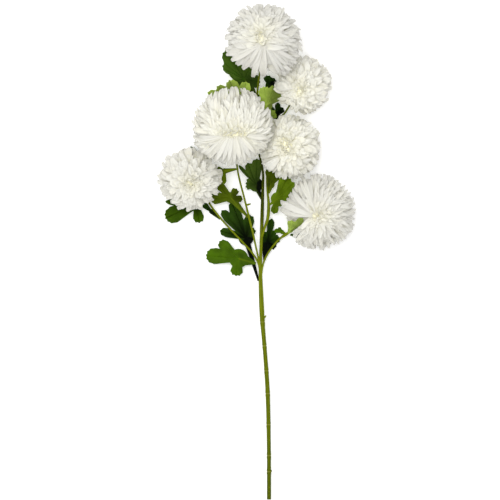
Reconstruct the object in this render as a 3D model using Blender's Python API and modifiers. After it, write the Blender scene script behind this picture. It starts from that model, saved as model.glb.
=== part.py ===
"""A cut spray of white pompon chrysanthemum, lying on a table with its six blooms facing up.

Lengths are metres. The stem runs along Y with its cut end at -Y, and Z points up from the table at Z = 0.
"""

import math
import random
from collections import namedtuple

import bmesh
import bpy
from mathutils import Matrix, Vector
from mathutils.bvhtree import BVHTree

# Driving sizes of the stem and its stalks
STEM_FOOT_RADIUS = 0.0030
STEM_FORK_RADIUS = 0.0023
STEM_TIP_RADIUS = 0.0015
STALK_RADIUS = 0.0014
FORK_Y = -0.022
JOINT_SWELL = 0.0004
JOINT_HALF_LENGTH = 0.003
STEM_POINT_SPACING = 0.020
STALK_POINT_SPACING = 0.016

# Where leaves were stripped from the stem, as places along Y
JOINTS_Y = (-0.3075, -0.2850, -0.2415, -0.1980, -0.1660, -0.1310, -0.0975)

# Driving sizes of a bloom, as shares of its radius unless they are lengths
CORE_SHARE = 0.46
PETAL_ROOT = 0.30
PETAL_SHOULDER = 0.86
PETAL_SPACING = 0.32
PETAL_GAP_SHARE = 0.92
PETAL_KEEL = 0.0024
RING_ANGLES = (10, 27, 44, 61, 78, 95, 112, 128)
SQUEEZE_DEPTH = 0.005
BLOOM_CLEARANCE = 0.0005
PETAL_CLEARANCE = 0.0006
TILT_TRIES = (0, 7, -7, 14, -14, 21, -21, 28, 36, 45)
LENGTH_TRIES = (1.0, 0.86, 0.74)
EDGE_SHARES = (0.0, 0.2, 0.4, 0.6, 0.8, 1.0)
SEED = 7

# Driving sizes of a calyx
CALYX_RIM_ANGLE = 33
CALYX_HEIGHT = 0.012
CALYX_SIDES = 12
CALYX_TOOTH = 0.0030
SOCKET_DEPTH = 0.0045
SEAT_GAP = 0.0003

# Driving sizes of a leaf
LEAF_THICKNESS = 0.0009
LEAF_RINGS = (0.5, 1.0)
LEAF_TOLERANCE = 0.0010
LEAF_FOLD = 0.0012
WIDE_GAP = 1.2
WIDE_REACH = 0.02
STALK_HALF_WIDTH = 0.0014
TOOTH_DEPTH = 0.07
TEETH = 9
REACH_STEP = 0.0003
OUTLINE_STEPS = 120
FACING_STEPS = 200
LEAST_FACING = 0.4

Bloom = namedtuple("Bloom", "centre radius lean sweep calyx_way route")
Lobe = namedtuple("Lobe", "tip half_width")
Leaf = namedtuple("Leaf", "base hub neck palm tint lobes")

# Each stem or stalk follows a smooth curve through these points, then enters its bloom's calyx
ROUTES = {
    "stem": (
        (0.0162, -0.3465, 0.0030),
        (0.0162, -0.2890, 0.0032),
        (0.0155, -0.2420, 0.0040),
        (0.0143, -0.1995, 0.0050),
        (0.0123, -0.1645, 0.0060),
        (0.0098, -0.1310, 0.0070),
        (0.0070, -0.0960, 0.0080),
        (0.0050, -0.0560, 0.0092),
        (0.0041, -0.0245, 0.0100),
        (0.0050, 0.0100, 0.0108),
        (0.0062, 0.0455, 0.0118),
        (0.0074, 0.0875, 0.0135),
        (0.0075, 0.1150, 0.0155),
        (0.0000, 0.1480, 0.0180),
        (-0.0040, 0.1760, 0.0215),
        (-0.0020, 0.2010, 0.0260),
        (-0.0002, 0.2260, 0.0330),
    ),
    "left": (
        (0.0043, -0.0400, 0.0096),
        (0.0015, -0.0160, 0.0104),
        (-0.0077, 0.0000, 0.0112),
        (-0.0195, 0.0130, 0.0116),
        (-0.0283, 0.0224, 0.0116),
        (-0.0377, 0.0323, 0.0110),
        (-0.0496, 0.0455, 0.0100),
        (-0.0577, 0.0554, 0.0090),
        (-0.0660, 0.0665, 0.0075),
    ),
    "centre": (
        (0.0042, -0.0330, 0.0098),
        (0.0018, -0.0110, 0.0112),
        (-0.0022, 0.0080, 0.0130),
        (-0.0060, 0.0260, 0.0150),
        (-0.0100, 0.0420, 0.0170),
        (-0.0145, 0.0600, 0.0195),
        (-0.0195, 0.0802, 0.0225),
        (-0.0245, 0.0990, 0.0255),
        (-0.0283, 0.1180, 0.0300),
    ),
    "mid_right": (
        (0.0056, 0.0215, 0.0112),
        (0.0095, 0.0330, 0.0118),
        (0.0147, 0.0490, 0.0122),
        (0.0157, 0.0680, 0.0122),
        (0.0145, 0.0820, 0.0118),
        (0.0134, 0.0970, 0.0112),
        (0.0140, 0.1110, 0.0100),
        (0.0200, 0.1210, 0.0075),
    ),
    "upper_right": (
        (-0.0015, 0.1530, 0.0185),
        (0.0050, 0.1660, 0.0150),
        (0.0160, 0.1780, 0.0120),
        (0.0280, 0.1860, 0.0100),
        (0.0385, 0.1960, 0.0080),
    ),
    "lower_right": (
        (0.0043, -0.0360, 0.0097),
        (0.0075, -0.0180, 0.0096),
        (0.0125, -0.0050, 0.0092),
        (0.0200, 0.0065, 0.0088),
        (0.0290, 0.0170, 0.0086),
        (0.0370, 0.0235, 0.0092),
        (0.0480, 0.0305, 0.0110),
    ),
}

# A bloom's face is tipped by lean and its heart is parted by sweep, both given as (x, y).
# calyx_way points from its heart to where its stalk comes in
BLOOMS = {
    "top": Bloom(
        (0.0090, 0.2945, 0.0760), 0.0530, (-0.08, -0.24), (-0.05, -0.34), (-0.10, -0.70, -1.0), "stem"
    ),
    "upper_right": Bloom(
        (0.0637, 0.2345, 0.0276), 0.0400, (-0.16, -0.24), (-0.10, -0.20), (-0.57, -0.82, -1.0), "upper_right"
    ),
    "centre": Bloom(
        (-0.0350, 0.1743, 0.0770), 0.0550, (0.00, -0.30), (0.00, -0.40), (0.10, -0.70, -1.0), "centre"
    ),
    "mid_right": Bloom(
        (0.0455, 0.1477, 0.0324), 0.0435, (-0.24, 0.00), (-0.15, 0.00), (-0.50, -0.60, -1.0), "mid_right"
    ),
    "left": Bloom(
        (-0.0945, 0.1036, 0.0330), 0.0440, (0.00, -0.26), (0.00, -0.20), (0.50, -0.50, -1.0), "left"
    ),
    "lower_right": Bloom(
        (0.0854, 0.0567, 0.0349), 0.0515, (-0.10, -0.12), (-0.12, -0.16), (-0.70, -0.50, -1.0), "lower_right"
    ),
}

# A leaf grows from its base to its hub, and its lobes spread from there, each to a blunt tip
LEAVES = {
    "low_left": Leaf(
        (-0.0025, -0.0155, 0.0100), (-0.0266, -0.0084, 0.0125), 0.0095, 0.0130, "mid",
        (
            Lobe((-0.0539, 0.0161, 0.0115), 0.0074),
            Lobe((-0.0729, -0.0035, 0.0095), 0.0116),
            Lobe((-0.0304, -0.0340, 0.0085), 0.0084),
        ),
    ),
    "under_left": Leaf(
        (-0.0750, 0.0720, 0.0055), (-0.0861, 0.0679, 0.0040), 0.0030, 0.0040, "mid",
        (
            Lobe((-0.1295, 0.0714, 0.0035), 0.0044),
            Lobe((-0.1298, 0.0476, 0.0030), 0.0122),
            Lobe((-0.0813, 0.0410, 0.0025), 0.0079),
        ),
    ),
    "along_left": Leaf(
        (-0.0531, 0.0461, 0.0060), (-0.0651, 0.0581, 0.0045), 0.0034, 0.0030, "dark",
        (
            Lobe((-0.0766, 0.0687, 0.0030), 0.0042),
        ),
    ),
    "behind_left": Leaf(
        (-0.0745, 0.0834, 0.0050), (-0.0799, 0.1165, 0.0045), 0.0030, 0.0050, "dark",
        (
            Lobe((-0.0939, 0.1491, 0.0060), 0.0060),
            Lobe((-0.0795, 0.1460, 0.0060), 0.0050),
        ),
    ),
    "dark_centre": Leaf(
        (0.0011, -0.0399, 0.0074), (-0.0161, 0.0203, 0.0046), 0.0036, 0.0075, "dark",
        (
            Lobe((-0.0041, 0.0357, 0.0050), 0.0060),
            Lobe((-0.0091, 0.0535, 0.0050), 0.0060),
            Lobe((-0.0388, 0.0721, 0.0046), 0.0066),
            Lobe((-0.0505, 0.0595, 0.0046), 0.0064),
            Lobe((-0.0531, 0.0307, 0.0044), 0.0060),
        ),
    ),
    "olive": Leaf(
        (-0.0155, 0.0489, 0.0170), (-0.0378, 0.0777, 0.0145), 0.0046, 0.0065, "olive",
        (
            Lobe((-0.0209, 0.0755, 0.0150), 0.0042),
            Lobe((-0.0298, 0.0897, 0.0150), 0.0042),
            Lobe((-0.0570, 0.0987, 0.0125), 0.0050),
            Lobe((-0.0671, 0.0763, 0.0115), 0.0090),
        ),
    ),
    "under_centre": Leaf(
        (-0.0294, 0.1170, 0.0285), (-0.0462, 0.1141, 0.0275), 0.0038, 0.0040, "olive",
        (
            Lobe((-0.0581, 0.1169, 0.0265), 0.0046),
            Lobe((-0.0475, 0.0953, 0.0245), 0.0038),
        ),
    ),
    "heart": Leaf(
        (0.0052, 0.0749, 0.0098), (-0.0021, 0.0952, 0.0068), 0.0050, 0.0100, "dark",
        (
            Lobe((-0.0007, 0.1323, 0.0074), 0.0080),
            Lobe((-0.0141, 0.1261, 0.0095), 0.0064),
            Lobe((-0.0265, 0.1225, 0.0120), 0.0028),
            Lobe((-0.0171, 0.0973, 0.0080), 0.0092),
        ),
    ),
    "beside_stem": Leaf(
        (0.0165, 0.0830, 0.0145), (0.0186, 0.0952, 0.0165), 0.0034, 0.0040, "olive",
        (
            Lobe((0.0309, 0.1121, 0.0170), 0.0050),
            Lobe((0.0186, 0.1204, 0.0170), 0.0062),
        ),
    ),
    "bright_right": Leaf(
        (0.0181, 0.0671, 0.0138), (0.0267, 0.0743, 0.0170), 0.0034, 0.0070, "bright",
        (
            Lobe((0.0228, 0.0539, 0.0135), 0.0054),
            Lobe((0.0332, 0.0643, 0.0160), 0.0064),
            Lobe((0.0547, 0.0827, 0.0260), 0.0074),
            Lobe((0.0517, 0.0987, 0.0270), 0.0070),
            Lobe((0.0427, 0.1077, 0.0240), 0.0094),
        ),
    ),
    "dark_right": Leaf(
        (0.0087, -0.0115, 0.0062), (0.0150, 0.0147, 0.0046), 0.0064, 0.0080, "dark",
        (
            Lobe((0.0267, 0.0077, 0.0040), 0.0062),
            Lobe((0.0318, 0.0206, 0.0042), 0.0064),
            Lobe((0.0248, 0.0312, 0.0044), 0.0044),
            Lobe((0.0203, 0.0479, 0.0050), 0.0050),
            Lobe((0.0094, 0.0307, 0.0046), 0.0052),
        ),
    ),
    "neck_right": Leaf(
        (0.0424, 0.0270, 0.0136), (0.0462, 0.0315, 0.0240), 0.0036, 0.0040, "pale",
        (
            Lobe((0.0477, 0.0455, 0.0560), 0.0060),
            Lobe((0.0640, 0.0477, 0.0780), 0.0050),
        ),
    ),
    "neck_left": Leaf(
        (0.0385, 0.0268, 0.0125), (0.0345, 0.0288, 0.0140), 0.0026, 0.0030, "mid",
        (
            Lobe((0.0234, 0.0312, 0.0150), 0.0034),
            Lobe((0.0290, 0.0352, 0.0145), 0.0030),
        ),
    ),
    "under_lower_right": Leaf(
        (0.0472, 0.0232, 0.0065), (0.0599, 0.0217, 0.0045), 0.0032, 0.0050, "dark",
        (
            Lobe((0.0755, 0.0141, 0.0040), 0.0050),
            Lobe((0.0679, 0.0260, 0.0040), 0.0050),
        ),
    ),
    "upper_left": Leaf(
        (-0.0036, 0.2211, 0.0265), (-0.0182, 0.2429, 0.0250), 0.0060, 0.0130, "dark",
        (
            Lobe((-0.0027, 0.2429, 0.0255), 0.0064),
            Lobe((-0.0105, 0.2645, 0.0270), 0.0100),
            Lobe((-0.0455, 0.2841, 0.0300), 0.0114),
            Lobe((-0.0475, 0.2667, 0.0285), 0.0100),
            Lobe((-0.0385, 0.2533, 0.0270), 0.0074),
            Lobe((-0.0354, 0.2395, 0.0250), 0.0054),
            Lobe((-0.0259, 0.2275, 0.0245), 0.0046),
        ),
    ),
    "pale_left": Leaf(
        (-0.0050, 0.1919, 0.0235), (-0.0203, 0.2149, 0.0290), 0.0064, 0.0100, "pale",
        (
            Lobe((-0.0105, 0.2297, 0.0320), 0.0056),
            Lobe((-0.0206, 0.2395, 0.0340), 0.0066),
            Lobe((-0.0371, 0.2395, 0.0350), 0.0058),
            Lobe((-0.0469, 0.2387, 0.0360), 0.0062),
            Lobe((-0.0559, 0.2325, 0.0370), 0.0056),
            Lobe((-0.0701, 0.2233, 0.0370), 0.0060),
        ),
    ),
    "pale_right": Leaf(
        (-0.0004, 0.1925, 0.0250), (0.0126, 0.2065, 0.0320), 0.0048, 0.0085, "pale",
        (
            Lobe((0.0365, 0.2233, 0.0330), 0.0044),
            Lobe((0.0234, 0.2337, 0.0370), 0.0070),
            Lobe((0.0088, 0.2328, 0.0380), 0.0080),
            Lobe((0.0010, 0.2155, 0.0360), 0.0054),
        ),
    ),
    "dark_upper_right": Leaf(
        (0.0015, 0.2190, 0.0280), (0.0172, 0.2345, 0.0220), 0.0034, 0.0060, "dark",
        (
            Lobe((0.0273, 0.2324, 0.0220), 0.0050),
            Lobe((0.0239, 0.2449, 0.0220), 0.0054),
            Lobe((0.0122, 0.2485, 0.0220), 0.0054),
        ),
    ),
    "between": Leaf(
        (0.0155, 0.1795, 0.0140), (0.0189, 0.1897, 0.0180), 0.0030, 0.0050, "bright",
        (
            Lobe((0.0069, 0.1886, 0.0185), 0.0038),
            Lobe((0.0195, 0.2009, 0.0200), 0.0054),
            Lobe((0.0265, 0.1942, 0.0170), 0.0046),
        ),
    ),
    "low_upper_right": Leaf(
        (0.0235, 0.1833, 0.0076), (0.0270, 0.1933, 0.0046), 0.0034, 0.0050, "dark",
        (
            Lobe((0.0363, 0.2034, 0.0036), 0.0050),
            Lobe((0.0290, 0.2107, 0.0044), 0.0040),
            Lobe((0.0150, 0.2043, 0.0046), 0.0050),
        ),
    ),
}

COLOURS = {
    "petal": ((0.86, 0.86, 0.80), 0.75),
    "stem": ((0.20, 0.29, 0.05), 0.55),
    "calyx": ((0.16, 0.27, 0.05), 0.60),
    "leaf_dark": ((0.03, 0.10, 0.02), 0.60),
    "leaf_mid": ((0.08, 0.20, 0.04), 0.60),
    "leaf_olive": ((0.13, 0.24, 0.02), 0.60),
    "leaf_bright": ((0.16, 0.33, 0.04), 0.60),
    "leaf_pale": ((0.30, 0.45, 0.12), 0.60),
}


def clear_scene():
    for obj in list(bpy.data.objects):
        bpy.data.objects.remove(obj, do_unlink=True)


def collection(name):
    made = bpy.data.collections.new(name)
    bpy.context.scene.collection.children.link(made)
    return made


def material(name):
    found = bpy.data.materials.get(name)
    if found:
        return found
    colour, roughness = COLOURS[name]
    made = bpy.data.materials.new(name)
    made.use_nodes = True
    shader = made.node_tree.nodes["Principled BSDF"]
    shader.inputs["Base Color"].default_value = (*colour, 1.0)
    shader.inputs["Roughness"].default_value = roughness
    shader.inputs["Metallic"].default_value = 0.0
    made.diffuse_color = (*colour, 1.0)
    return made


def add_object(name, mesh, home, finish=None):
    obj = bpy.data.objects.new(name, mesh)
    home.objects.link(obj)
    if finish:
        mesh.materials.clear()
        mesh.materials.append(material(finish))
    return obj


def mesh_from(bm, name):
    bmesh.ops.recalc_face_normals(bm, faces=bm.faces)
    mesh = bpy.data.meshes.new(name)
    bm.to_mesh(mesh)
    bm.free()
    return mesh


def applied(obj):
    """obj's mesh with its modifiers in it, in world space. The object itself is removed."""
    graph = bpy.context.evaluated_depsgraph_get()
    graph.update()
    mesh = bpy.data.meshes.new_from_object(obj.evaluated_get(graph))
    mesh.transform(obj.matrix_world)
    name = obj.name
    bpy.data.objects.remove(obj, do_unlink=True)
    mesh.name = name
    return mesh


def edge_samples(mesh):
    """Points along every edge of a mesh, its corners included."""
    for a, b in mesh.edge_keys:
        first, last = mesh.vertices[a].co, mesh.vertices[b].co
        for share in EDGE_SHARES:
            yield first.lerp(last, share)


def tree_of(mesh):
    mesh.calc_loop_triangles()
    corners = [v.co.copy() for v in mesh.vertices]
    return BVHTree.FromPolygons(corners, [tuple(t.vertices) for t in mesh.loop_triangles])


def joined(name, first, others, home, finish, cutter=None):
    """One solid from a first mesh and the objects of a collection, which are then removed."""
    obj = add_object(name, first, home)
    union = obj.modifiers.new("join", "BOOLEAN")
    union.operation = "UNION"
    union.operand_type = "COLLECTION"
    union.collection = others
    union.solver = "MANIFOLD"
    if cutter:
        trim = obj.modifiers.new("table", "BOOLEAN")
        trim.operation = "DIFFERENCE"
        trim.object = cutter
        trim.solver = "MANIFOLD"
    mesh = applied(obj)
    for other in list(others.objects):
        bpy.data.objects.remove(other, do_unlink=True)
    bpy.data.collections.remove(others)
    return add_object(name, mesh, home, finish)


# Curves


def smooth_route(points, spacing, keep=()):
    """Points on a smooth curve through the given ones, about one spacing apart.

    Each place along Y that keep names gets a point of its own.
    """
    path = [Vector(p) for p in points]
    ends = [2 * path[0] - path[1], *path, 2 * path[-1] - path[-2]]
    fine = []
    for a, b, c, d in zip(ends, ends[1:], ends[2:], ends[3:]):
        steps = max(2, round((c - b).length / 0.001))
        for i in range(steps):
            t = i / steps
            curve = (2 * a - 5 * b + 4 * c - d) * t**2 + (3 * b - a - 3 * c + d) * t**3
            fine.append(0.5 * (2 * b + (c - a) * t + curve))
    fine.append(path[-1])
    kept, since = [fine[0]], 0.0
    wanted = sorted(keep)
    for before, here in zip(fine, fine[1:]):
        since += (here - before).length
        passed = [y for y in wanted if before.y < y <= here.y]
        if passed or since >= spacing:
            kept.append(here)
            since = 0.0
    if (kept[-1] - fine[-1]).length < 0.4 * spacing:
        kept.pop()
    kept.append(fine[-1])
    return kept


def tube(name, points, radii, home):
    data = bpy.data.curves.new(name, "CURVE")
    data.dimensions = "3D"
    data.bevel_depth = 1.0
    data.bevel_resolution = 2
    data.use_fill_caps = True
    spline = data.splines.new("POLY")
    spline.points.add(len(points) - 1)
    for point, place, radius in zip(spline.points, points, radii):
        point.co = (*place, 1.0)
        point.radius = radius
    curve = bpy.data.objects.new(name, data)
    home.objects.link(curve)
    mesh = applied(curve)
    bm = bmesh.new()
    bm.from_mesh(mesh)
    bmesh.ops.remove_doubles(bm, verts=bm.verts, dist=1e-6)
    return mesh_from(bm, name)


# The stem and its stalks


def unit(vector):
    return Vector(vector).normalized()


def seat_depth(bloom):
    """How far below a bloom's centre its core is cut flat, to sit on the calyx."""
    return bloom.radius * CORE_SHARE * math.cos(math.radians(CALYX_RIM_ANGLE))


def calyx_foot(bloom):
    """How far below a bloom's centre its calyx ends."""
    return seat_depth(bloom) + CALYX_HEIGHT


def full_route(name):
    """A route as far as its bloom's calyx, and its two last points in the calyx's socket."""
    bloom = next(b for b in BLOOMS.values() if b.route == name)
    way, centre, foot = unit(bloom.calyx_way), Vector(bloom.centre), calyx_foot(bloom)
    approach = centre + way * (foot + 0.007)
    socket = centre + way * (foot - SOCKET_DEPTH + SEAT_GAP)
    return [*ROUTES[name], approach], [centre + way * foot, socket]


def stem_radius(y):
    if y < FORK_Y:
        share = (y - ROUTES["stem"][0][1]) / (FORK_Y - ROUTES["stem"][0][1])
        radius = STEM_FOOT_RADIUS + (STEM_FORK_RADIUS - STEM_FOOT_RADIUS) * share
    else:
        share = min(1.0, (y - FORK_Y) / 0.15)
        radius = STEM_FORK_RADIUS + (STEM_TIP_RADIUS - STEM_FORK_RADIUS) * share
    near = min(abs(y - joint) for joint in JOINTS_Y)
    return radius + JOINT_SWELL * max(0.0, 1 - near / JOINT_HALF_LENGTH)


def knob(place, way, radius, length, home):
    """A bud scar or a swelling of the stem."""
    bm = bmesh.new()
    bmesh.ops.create_cone(bm, cap_ends=True, segments=6, radius1=radius, radius2=radius / 2, depth=length)
    turn = Vector((0, 0, 1)).rotation_difference(unit(way)).to_matrix().to_4x4()
    bmesh.ops.transform(bm, matrix=Matrix.Translation(place) @ turn, verts=bm.verts)
    add_object("knob", mesh_from(bm, "knob"), home)


def make_stem(home, cutter):
    side = collection("side stalks")
    marks = [y + step for y in JOINTS_Y for step in (-JOINT_HALF_LENGTH, 0.0, JOINT_HALF_LENGTH)]
    route, tail = full_route("stem")
    main = smooth_route(route, STEM_POINT_SPACING, marks) + tail
    trunk = tube("trunk", main, [stem_radius(p.y) for p in main], side)
    for name in ROUTES:
        if name == "stem":
            continue
        route, tail = full_route(name)
        points = smooth_route(route, STALK_POINT_SPACING) + tail
        add_object(name, tube(name, points, [STALK_RADIUS] * len(points), side), side)
    knob((0.0102, -0.0905, 0.0085), (1.0, 0.9, 0.2), 0.0016, 0.006, side)
    knob((0.0185, -0.3070, 0.0034), (1.0, 0.5, 0.2), 0.0016, 0.006, side)
    knob((-0.0120, 0.0675, 0.0205), (1.0, 0.3, 0.2), 0.0016, 0.006, side)
    knob((0.0400, 0.0240, 0.0094), (-0.8, -0.6, 0.0), 0.0024, 0.014, side)
    stem = joined("stem", trunk, side, home, "stem", cutter)
    stem.data.shade_smooth()
    return stem


# Leaves


def lobe_half_width(share, widest):
    """Half a lobe's width, at a share of the way from the hub to its blunt tip."""
    swell = 0.2 + 0.8 * min(1.0, share / 0.72) ** 1.5
    blunt = 1 - max(0.0, (share - 0.66) / 0.34) ** 3
    return widest * swell * math.sqrt(max(0.0, blunt))


def neck_half_width(share, widest):
    """Half the width of the leaf's own stalk, at a share of the way from the hub to its base."""
    return STALK_HALF_WIDTH + (widest - STALK_HALF_WIDTH) * (1 - share)


def reach(angle, leaf):
    """How far the leaf goes from its hub in one direction."""
    way = Vector((math.cos(angle), math.sin(angle)))
    hub = Vector(leaf.hub[:2])
    veins = [(Vector(leaf.base[:2]) - hub, leaf.neck, neck_half_width, 0.0)]
    for lobe in leaf.lobes:
        veins.append((Vector(lobe.tip[:2]) - hub, lobe.half_width, lobe_half_width, TOOTH_DEPTH))
    furthest = leaf.palm
    for vein, widest, half_width, tooth in veins:
        along = way.dot(vein) / vein.length
        aside = abs(way.cross(vein)) / vein.length
        if along <= 0:
            continue
        far = vein.length / along
        while far > furthest and far * aside > half_width(far * along / vein.length, widest):
            far -= REACH_STEP
        off_axis = math.acos(min(1.0, along))
        furthest = max(furthest, far * (1 - tooth * abs(math.sin(TEETH * off_axis))))
    return furthest


def bearing(end, hub):
    return math.atan2(end[1] - hub[1], end[0] - hub[0])


def slope(end, hub):
    return (end[2] - hub[2]) / (Vector(end[:2]) - Vector(hub[:2])).length


def stalk_edges(leaf):
    """The directions from the hub to the two corners of the foot of the leaf's stalk."""
    stalk = Vector(leaf.base[:2]) - Vector(leaf.hub[:2])
    half_angle = math.atan2(STALK_HALF_WIDTH, stalk.length)
    return bearing(leaf.base, leaf.hub) + half_angle, bearing(leaf.base, leaf.hub) - half_angle + 2 * math.pi


def edge_height(angle, leaf):
    """The height of the leaf's edge in one direction. Each vein has its own slope, and the blade arches between two."""
    start, end = stalk_edges(leaf)
    hub = Vector(leaf.hub)
    ends = [(0.0, slope(leaf.base, hub)), (end - start, slope(leaf.base, hub))]
    ends += [((bearing(lobe.tip, hub) - start) % (2 * math.pi), slope(lobe.tip, hub)) for lobe in leaf.lobes]
    ends.sort()
    turned = min(max((angle - start) % (2 * math.pi), 0.0), end - start)
    low, high = next((a, b) for a, b in zip(ends, ends[1:]) if turned <= b[0])
    share = (turned - low[0]) / (high[0] - low[0])
    eased = share * share * (3 - 2 * share)
    far = reach(angle, leaf)
    fold = LEAF_FOLD * min(1.0, (high[0] - low[0]) / WIDE_GAP) * min(1.0, far / WIDE_REACH)
    return hub.z + far * (low[1] + (high[1] - low[1]) * eased) + fold * math.sin(math.pi * share)


def thinned(points, tolerance):
    """The points of a line that it needs to stay within the tolerance of its first shape."""
    if len(points) < 3:
        return points
    chord = points[-1] - points[0]
    away = [abs(chord.cross(p - points[0])) / chord.length for p in points]
    worst = max(range(len(points)), key=away.__getitem__)
    if away[worst] < tolerance:
        return [points[0], points[-1]]
    return thinned(points[: worst + 1], tolerance)[:-1] + thinned(points[worst:], tolerance)


def leaf_angles(leaf):
    """The directions in which the leaf's outline has its corners."""
    start, end = stalk_edges(leaf)
    turns = {(end - start) * i / OUTLINE_STEPS for i in range(OUTLINE_STEPS + 1)}
    turns |= {(bearing(lobe.tip, leaf.hub) - start) % (2 * math.pi) for lobe in leaf.lobes}
    angles = [start + turn for turn in sorted(turns)]
    line = [Vector((math.cos(a), math.sin(a))) * reach(a, leaf) for a in angles]
    kept = {tuple(p) for p in thinned(line, LEAF_TOLERANCE)}
    return [angle for angle, point in zip(angles, line) if tuple(point) in kept]


def leaf_mesh(name, leaf):
    """A thin waved leaf: rings of points round its hub, split into triangles."""
    hub = Vector(leaf.hub)
    bm = bmesh.new()
    centre = bm.verts.new(hub)
    rings = [[] for _ in LEAF_RINGS]
    for angle in leaf_angles(leaf):
        far, height = reach(angle, leaf), edge_height(angle, leaf)
        for ring, share in zip(rings, LEAF_RINGS):
            flat = Vector((math.cos(angle), math.sin(angle), 0)) * far * share
            ring.append(bm.verts.new(hub + flat + Vector((0, 0, (height - hub.z) * share))))
    count = len(rings[0])
    for i in range(count):
        j = (i + 1) % count
        bm.faces.new((centre, rings[0][i], rings[0][j]))
        for inner, outer in zip(rings, rings[1:]):
            bm.faces.new((inner[i], outer[i], outer[j]))
            bm.faces.new((inner[i], outer[j], inner[j]))
    return mesh_from(bm, name)


def seat_leaf(mesh, leaf, stem_tree):
    """Moves the foot of a leaf's stalk to one seat gap off the stem. The rest follows less and less."""
    base = Vector(leaf.base)
    stalk_length = (base - Vector(leaf.hub)).length
    on_stem, _, _, _ = stem_tree.find_nearest(base)
    away = (base - on_stem).normalized()

    def pull(place):
        return max(0.0, 1 - (place - base).length / stalk_length)

    feet = [(p.copy(), pull(p)) for p in edge_samples(mesh) if pull(p) > 0.4]
    needed = LEAF_THICKNESS / 3 + SEAT_GAP
    move = on_stem - base
    while min(stem_tree.find_nearest(p + move * share)[3] for p, share in feet) < needed:
        move += away * 0.0001
    for vertex in mesh.vertices:
        vertex.co += move * pull(vertex.co)
    return mesh


def facing_way(normals):
    """The direction that even the face turned furthest away from it faces as well as it can."""
    way = unit(sum(normals, Vector()))
    for _ in range(FACING_STEPS):
        furthest = min(normals, key=way.dot)
        way = unit(way + 0.02 * furthest)
    return way


def thickened(sheet):
    """The sheet's two faces and its rim. All points move along one line, so no fold runs into itself."""
    bm = bmesh.new()
    bm.from_mesh(sheet)
    bm.normal_update()
    way = facing_way([face.normal.copy() for face in bm.faces])
    count = len(bm.verts)
    lifts = [way * (LEAF_THICKNESS / 2 / max(LEAST_FACING, vertex.normal.dot(way))) for vertex in bm.verts]
    places = [vertex.co + lift for vertex, lift in zip(bm.verts, lifts)]
    places += [vertex.co - lift for vertex, lift in zip(bm.verts, lifts)]
    faces = [[vertex.index for vertex in face.verts] for face in bm.faces]
    faces += [[count + i for i in reversed(corners)] for corners in faces]
    for edge in bm.edges:
        if edge.is_boundary:
            first, last = (vertex.index for vertex in edge.verts)
            faces += [(first, last, count + last), (first, count + last, count + first)]
    blade = bpy.data.meshes.new(sheet.name)
    blade.from_pydata(places, [], faces)
    bm.clear()
    bm.from_mesh(blade)
    return mesh_from(bm, sheet.name)


def make_leaf(name, leaf, stem_tree, home):
    sheet = seat_leaf(leaf_mesh(name, leaf), leaf, stem_tree)
    add_object("leaf_" + name, thickened(sheet), home, "leaf_" + leaf.tint)
    return tree_of(sheet)


# Calyxes


def calyx_profile(bloom):
    """The turned outline, from the top of the socket round the outside to the middle of the flat top."""
    top, foot = seat_depth(bloom) + SEAT_GAP, calyx_foot(bloom)
    bore = STEM_TIP_RADIUS / math.cos(math.pi / CALYX_SIDES) + SEAT_GAP
    rim = bloom.radius * CORE_SHARE * math.sin(math.radians(CALYX_RIM_ANGLE))
    return (
        (0.0, -(foot - SOCKET_DEPTH)),
        (bore, -(foot - SOCKET_DEPTH)),
        (bore, -foot),
        (bore + 0.0013, -foot),
        (bore + 0.0022, -(foot - 0.5 * CALYX_HEIGHT)),
        (rim * 0.86, -(top + 0.0024)),
        (rim, -top),
        (0.0, -top),
    )


def make_calyx(name, bloom, home):
    profile = calyx_profile(bloom)
    outline = bpy.data.meshes.new(name)
    outline.from_pydata([(x, 0.0, z) for x, z in profile], [(i, i + 1) for i in range(len(profile) - 1)], [])
    turned = add_object("outline", outline, home)
    screw = turned.modifiers.new("turn", "SCREW")
    screw.steps = screw.render_steps = CALYX_SIDES
    screw.use_merge_vertices = True
    screw.merge_threshold = 0.00001
    screw.use_normal_calculate = True
    mesh = applied(turned)
    rim_radius = profile[6][0]
    step = 2 * math.pi / CALYX_SIDES
    for vertex in mesh.vertices:
        flat = Vector((vertex.co.x, vertex.co.y))
        if abs(flat.length - rim_radius) < 1e-5 and round(math.atan2(flat.y, flat.x) / step) % 2:
            vertex.co += Vector((*(flat.normalized() * CALYX_TOOTH), 0.0))
    up = -unit(bloom.calyx_way)
    turn = Vector((0, 0, 1)).rotation_difference(up).to_matrix().to_4x4()
    mesh.transform(Matrix.Translation(bloom.centre) @ turn)
    bm = bmesh.new()
    bm.from_mesh(mesh)
    calyx = add_object("calyx_" + name, mesh_from(bm, name), home, "calyx")
    calyx.data.shade_smooth()
    return calyx


# Blooms


def squeezed(point, name):
    """point moved back where it would press into a neighbouring bloom."""
    here = BLOOMS[name]
    centre = Vector(here.centre)
    for other_name, other in BLOOMS.items():
        between = Vector(other.centre) - centre
        if other_name == name or between.length > here.radius + other.radius:
            continue
        way = between.normalized()
        wall = (between.length + here.radius - other.radius) / 2 - BLOOM_CLEARANCE
        depth = (point - centre).dot(way) - (wall - SQUEEZE_DEPTH)
        if depth > 0:
            point = point - way * (depth - SQUEEZE_DEPTH * (1 - math.exp(-depth / SQUEEZE_DEPTH)))
    return point


def bloom_frame(bloom):
    face = Vector((*bloom.lean, 1.0)).normalized()
    side = Vector((1, 0, 0))
    side = (side - face * side.dot(face)).normalized()
    return side, face.cross(side), face


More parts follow.
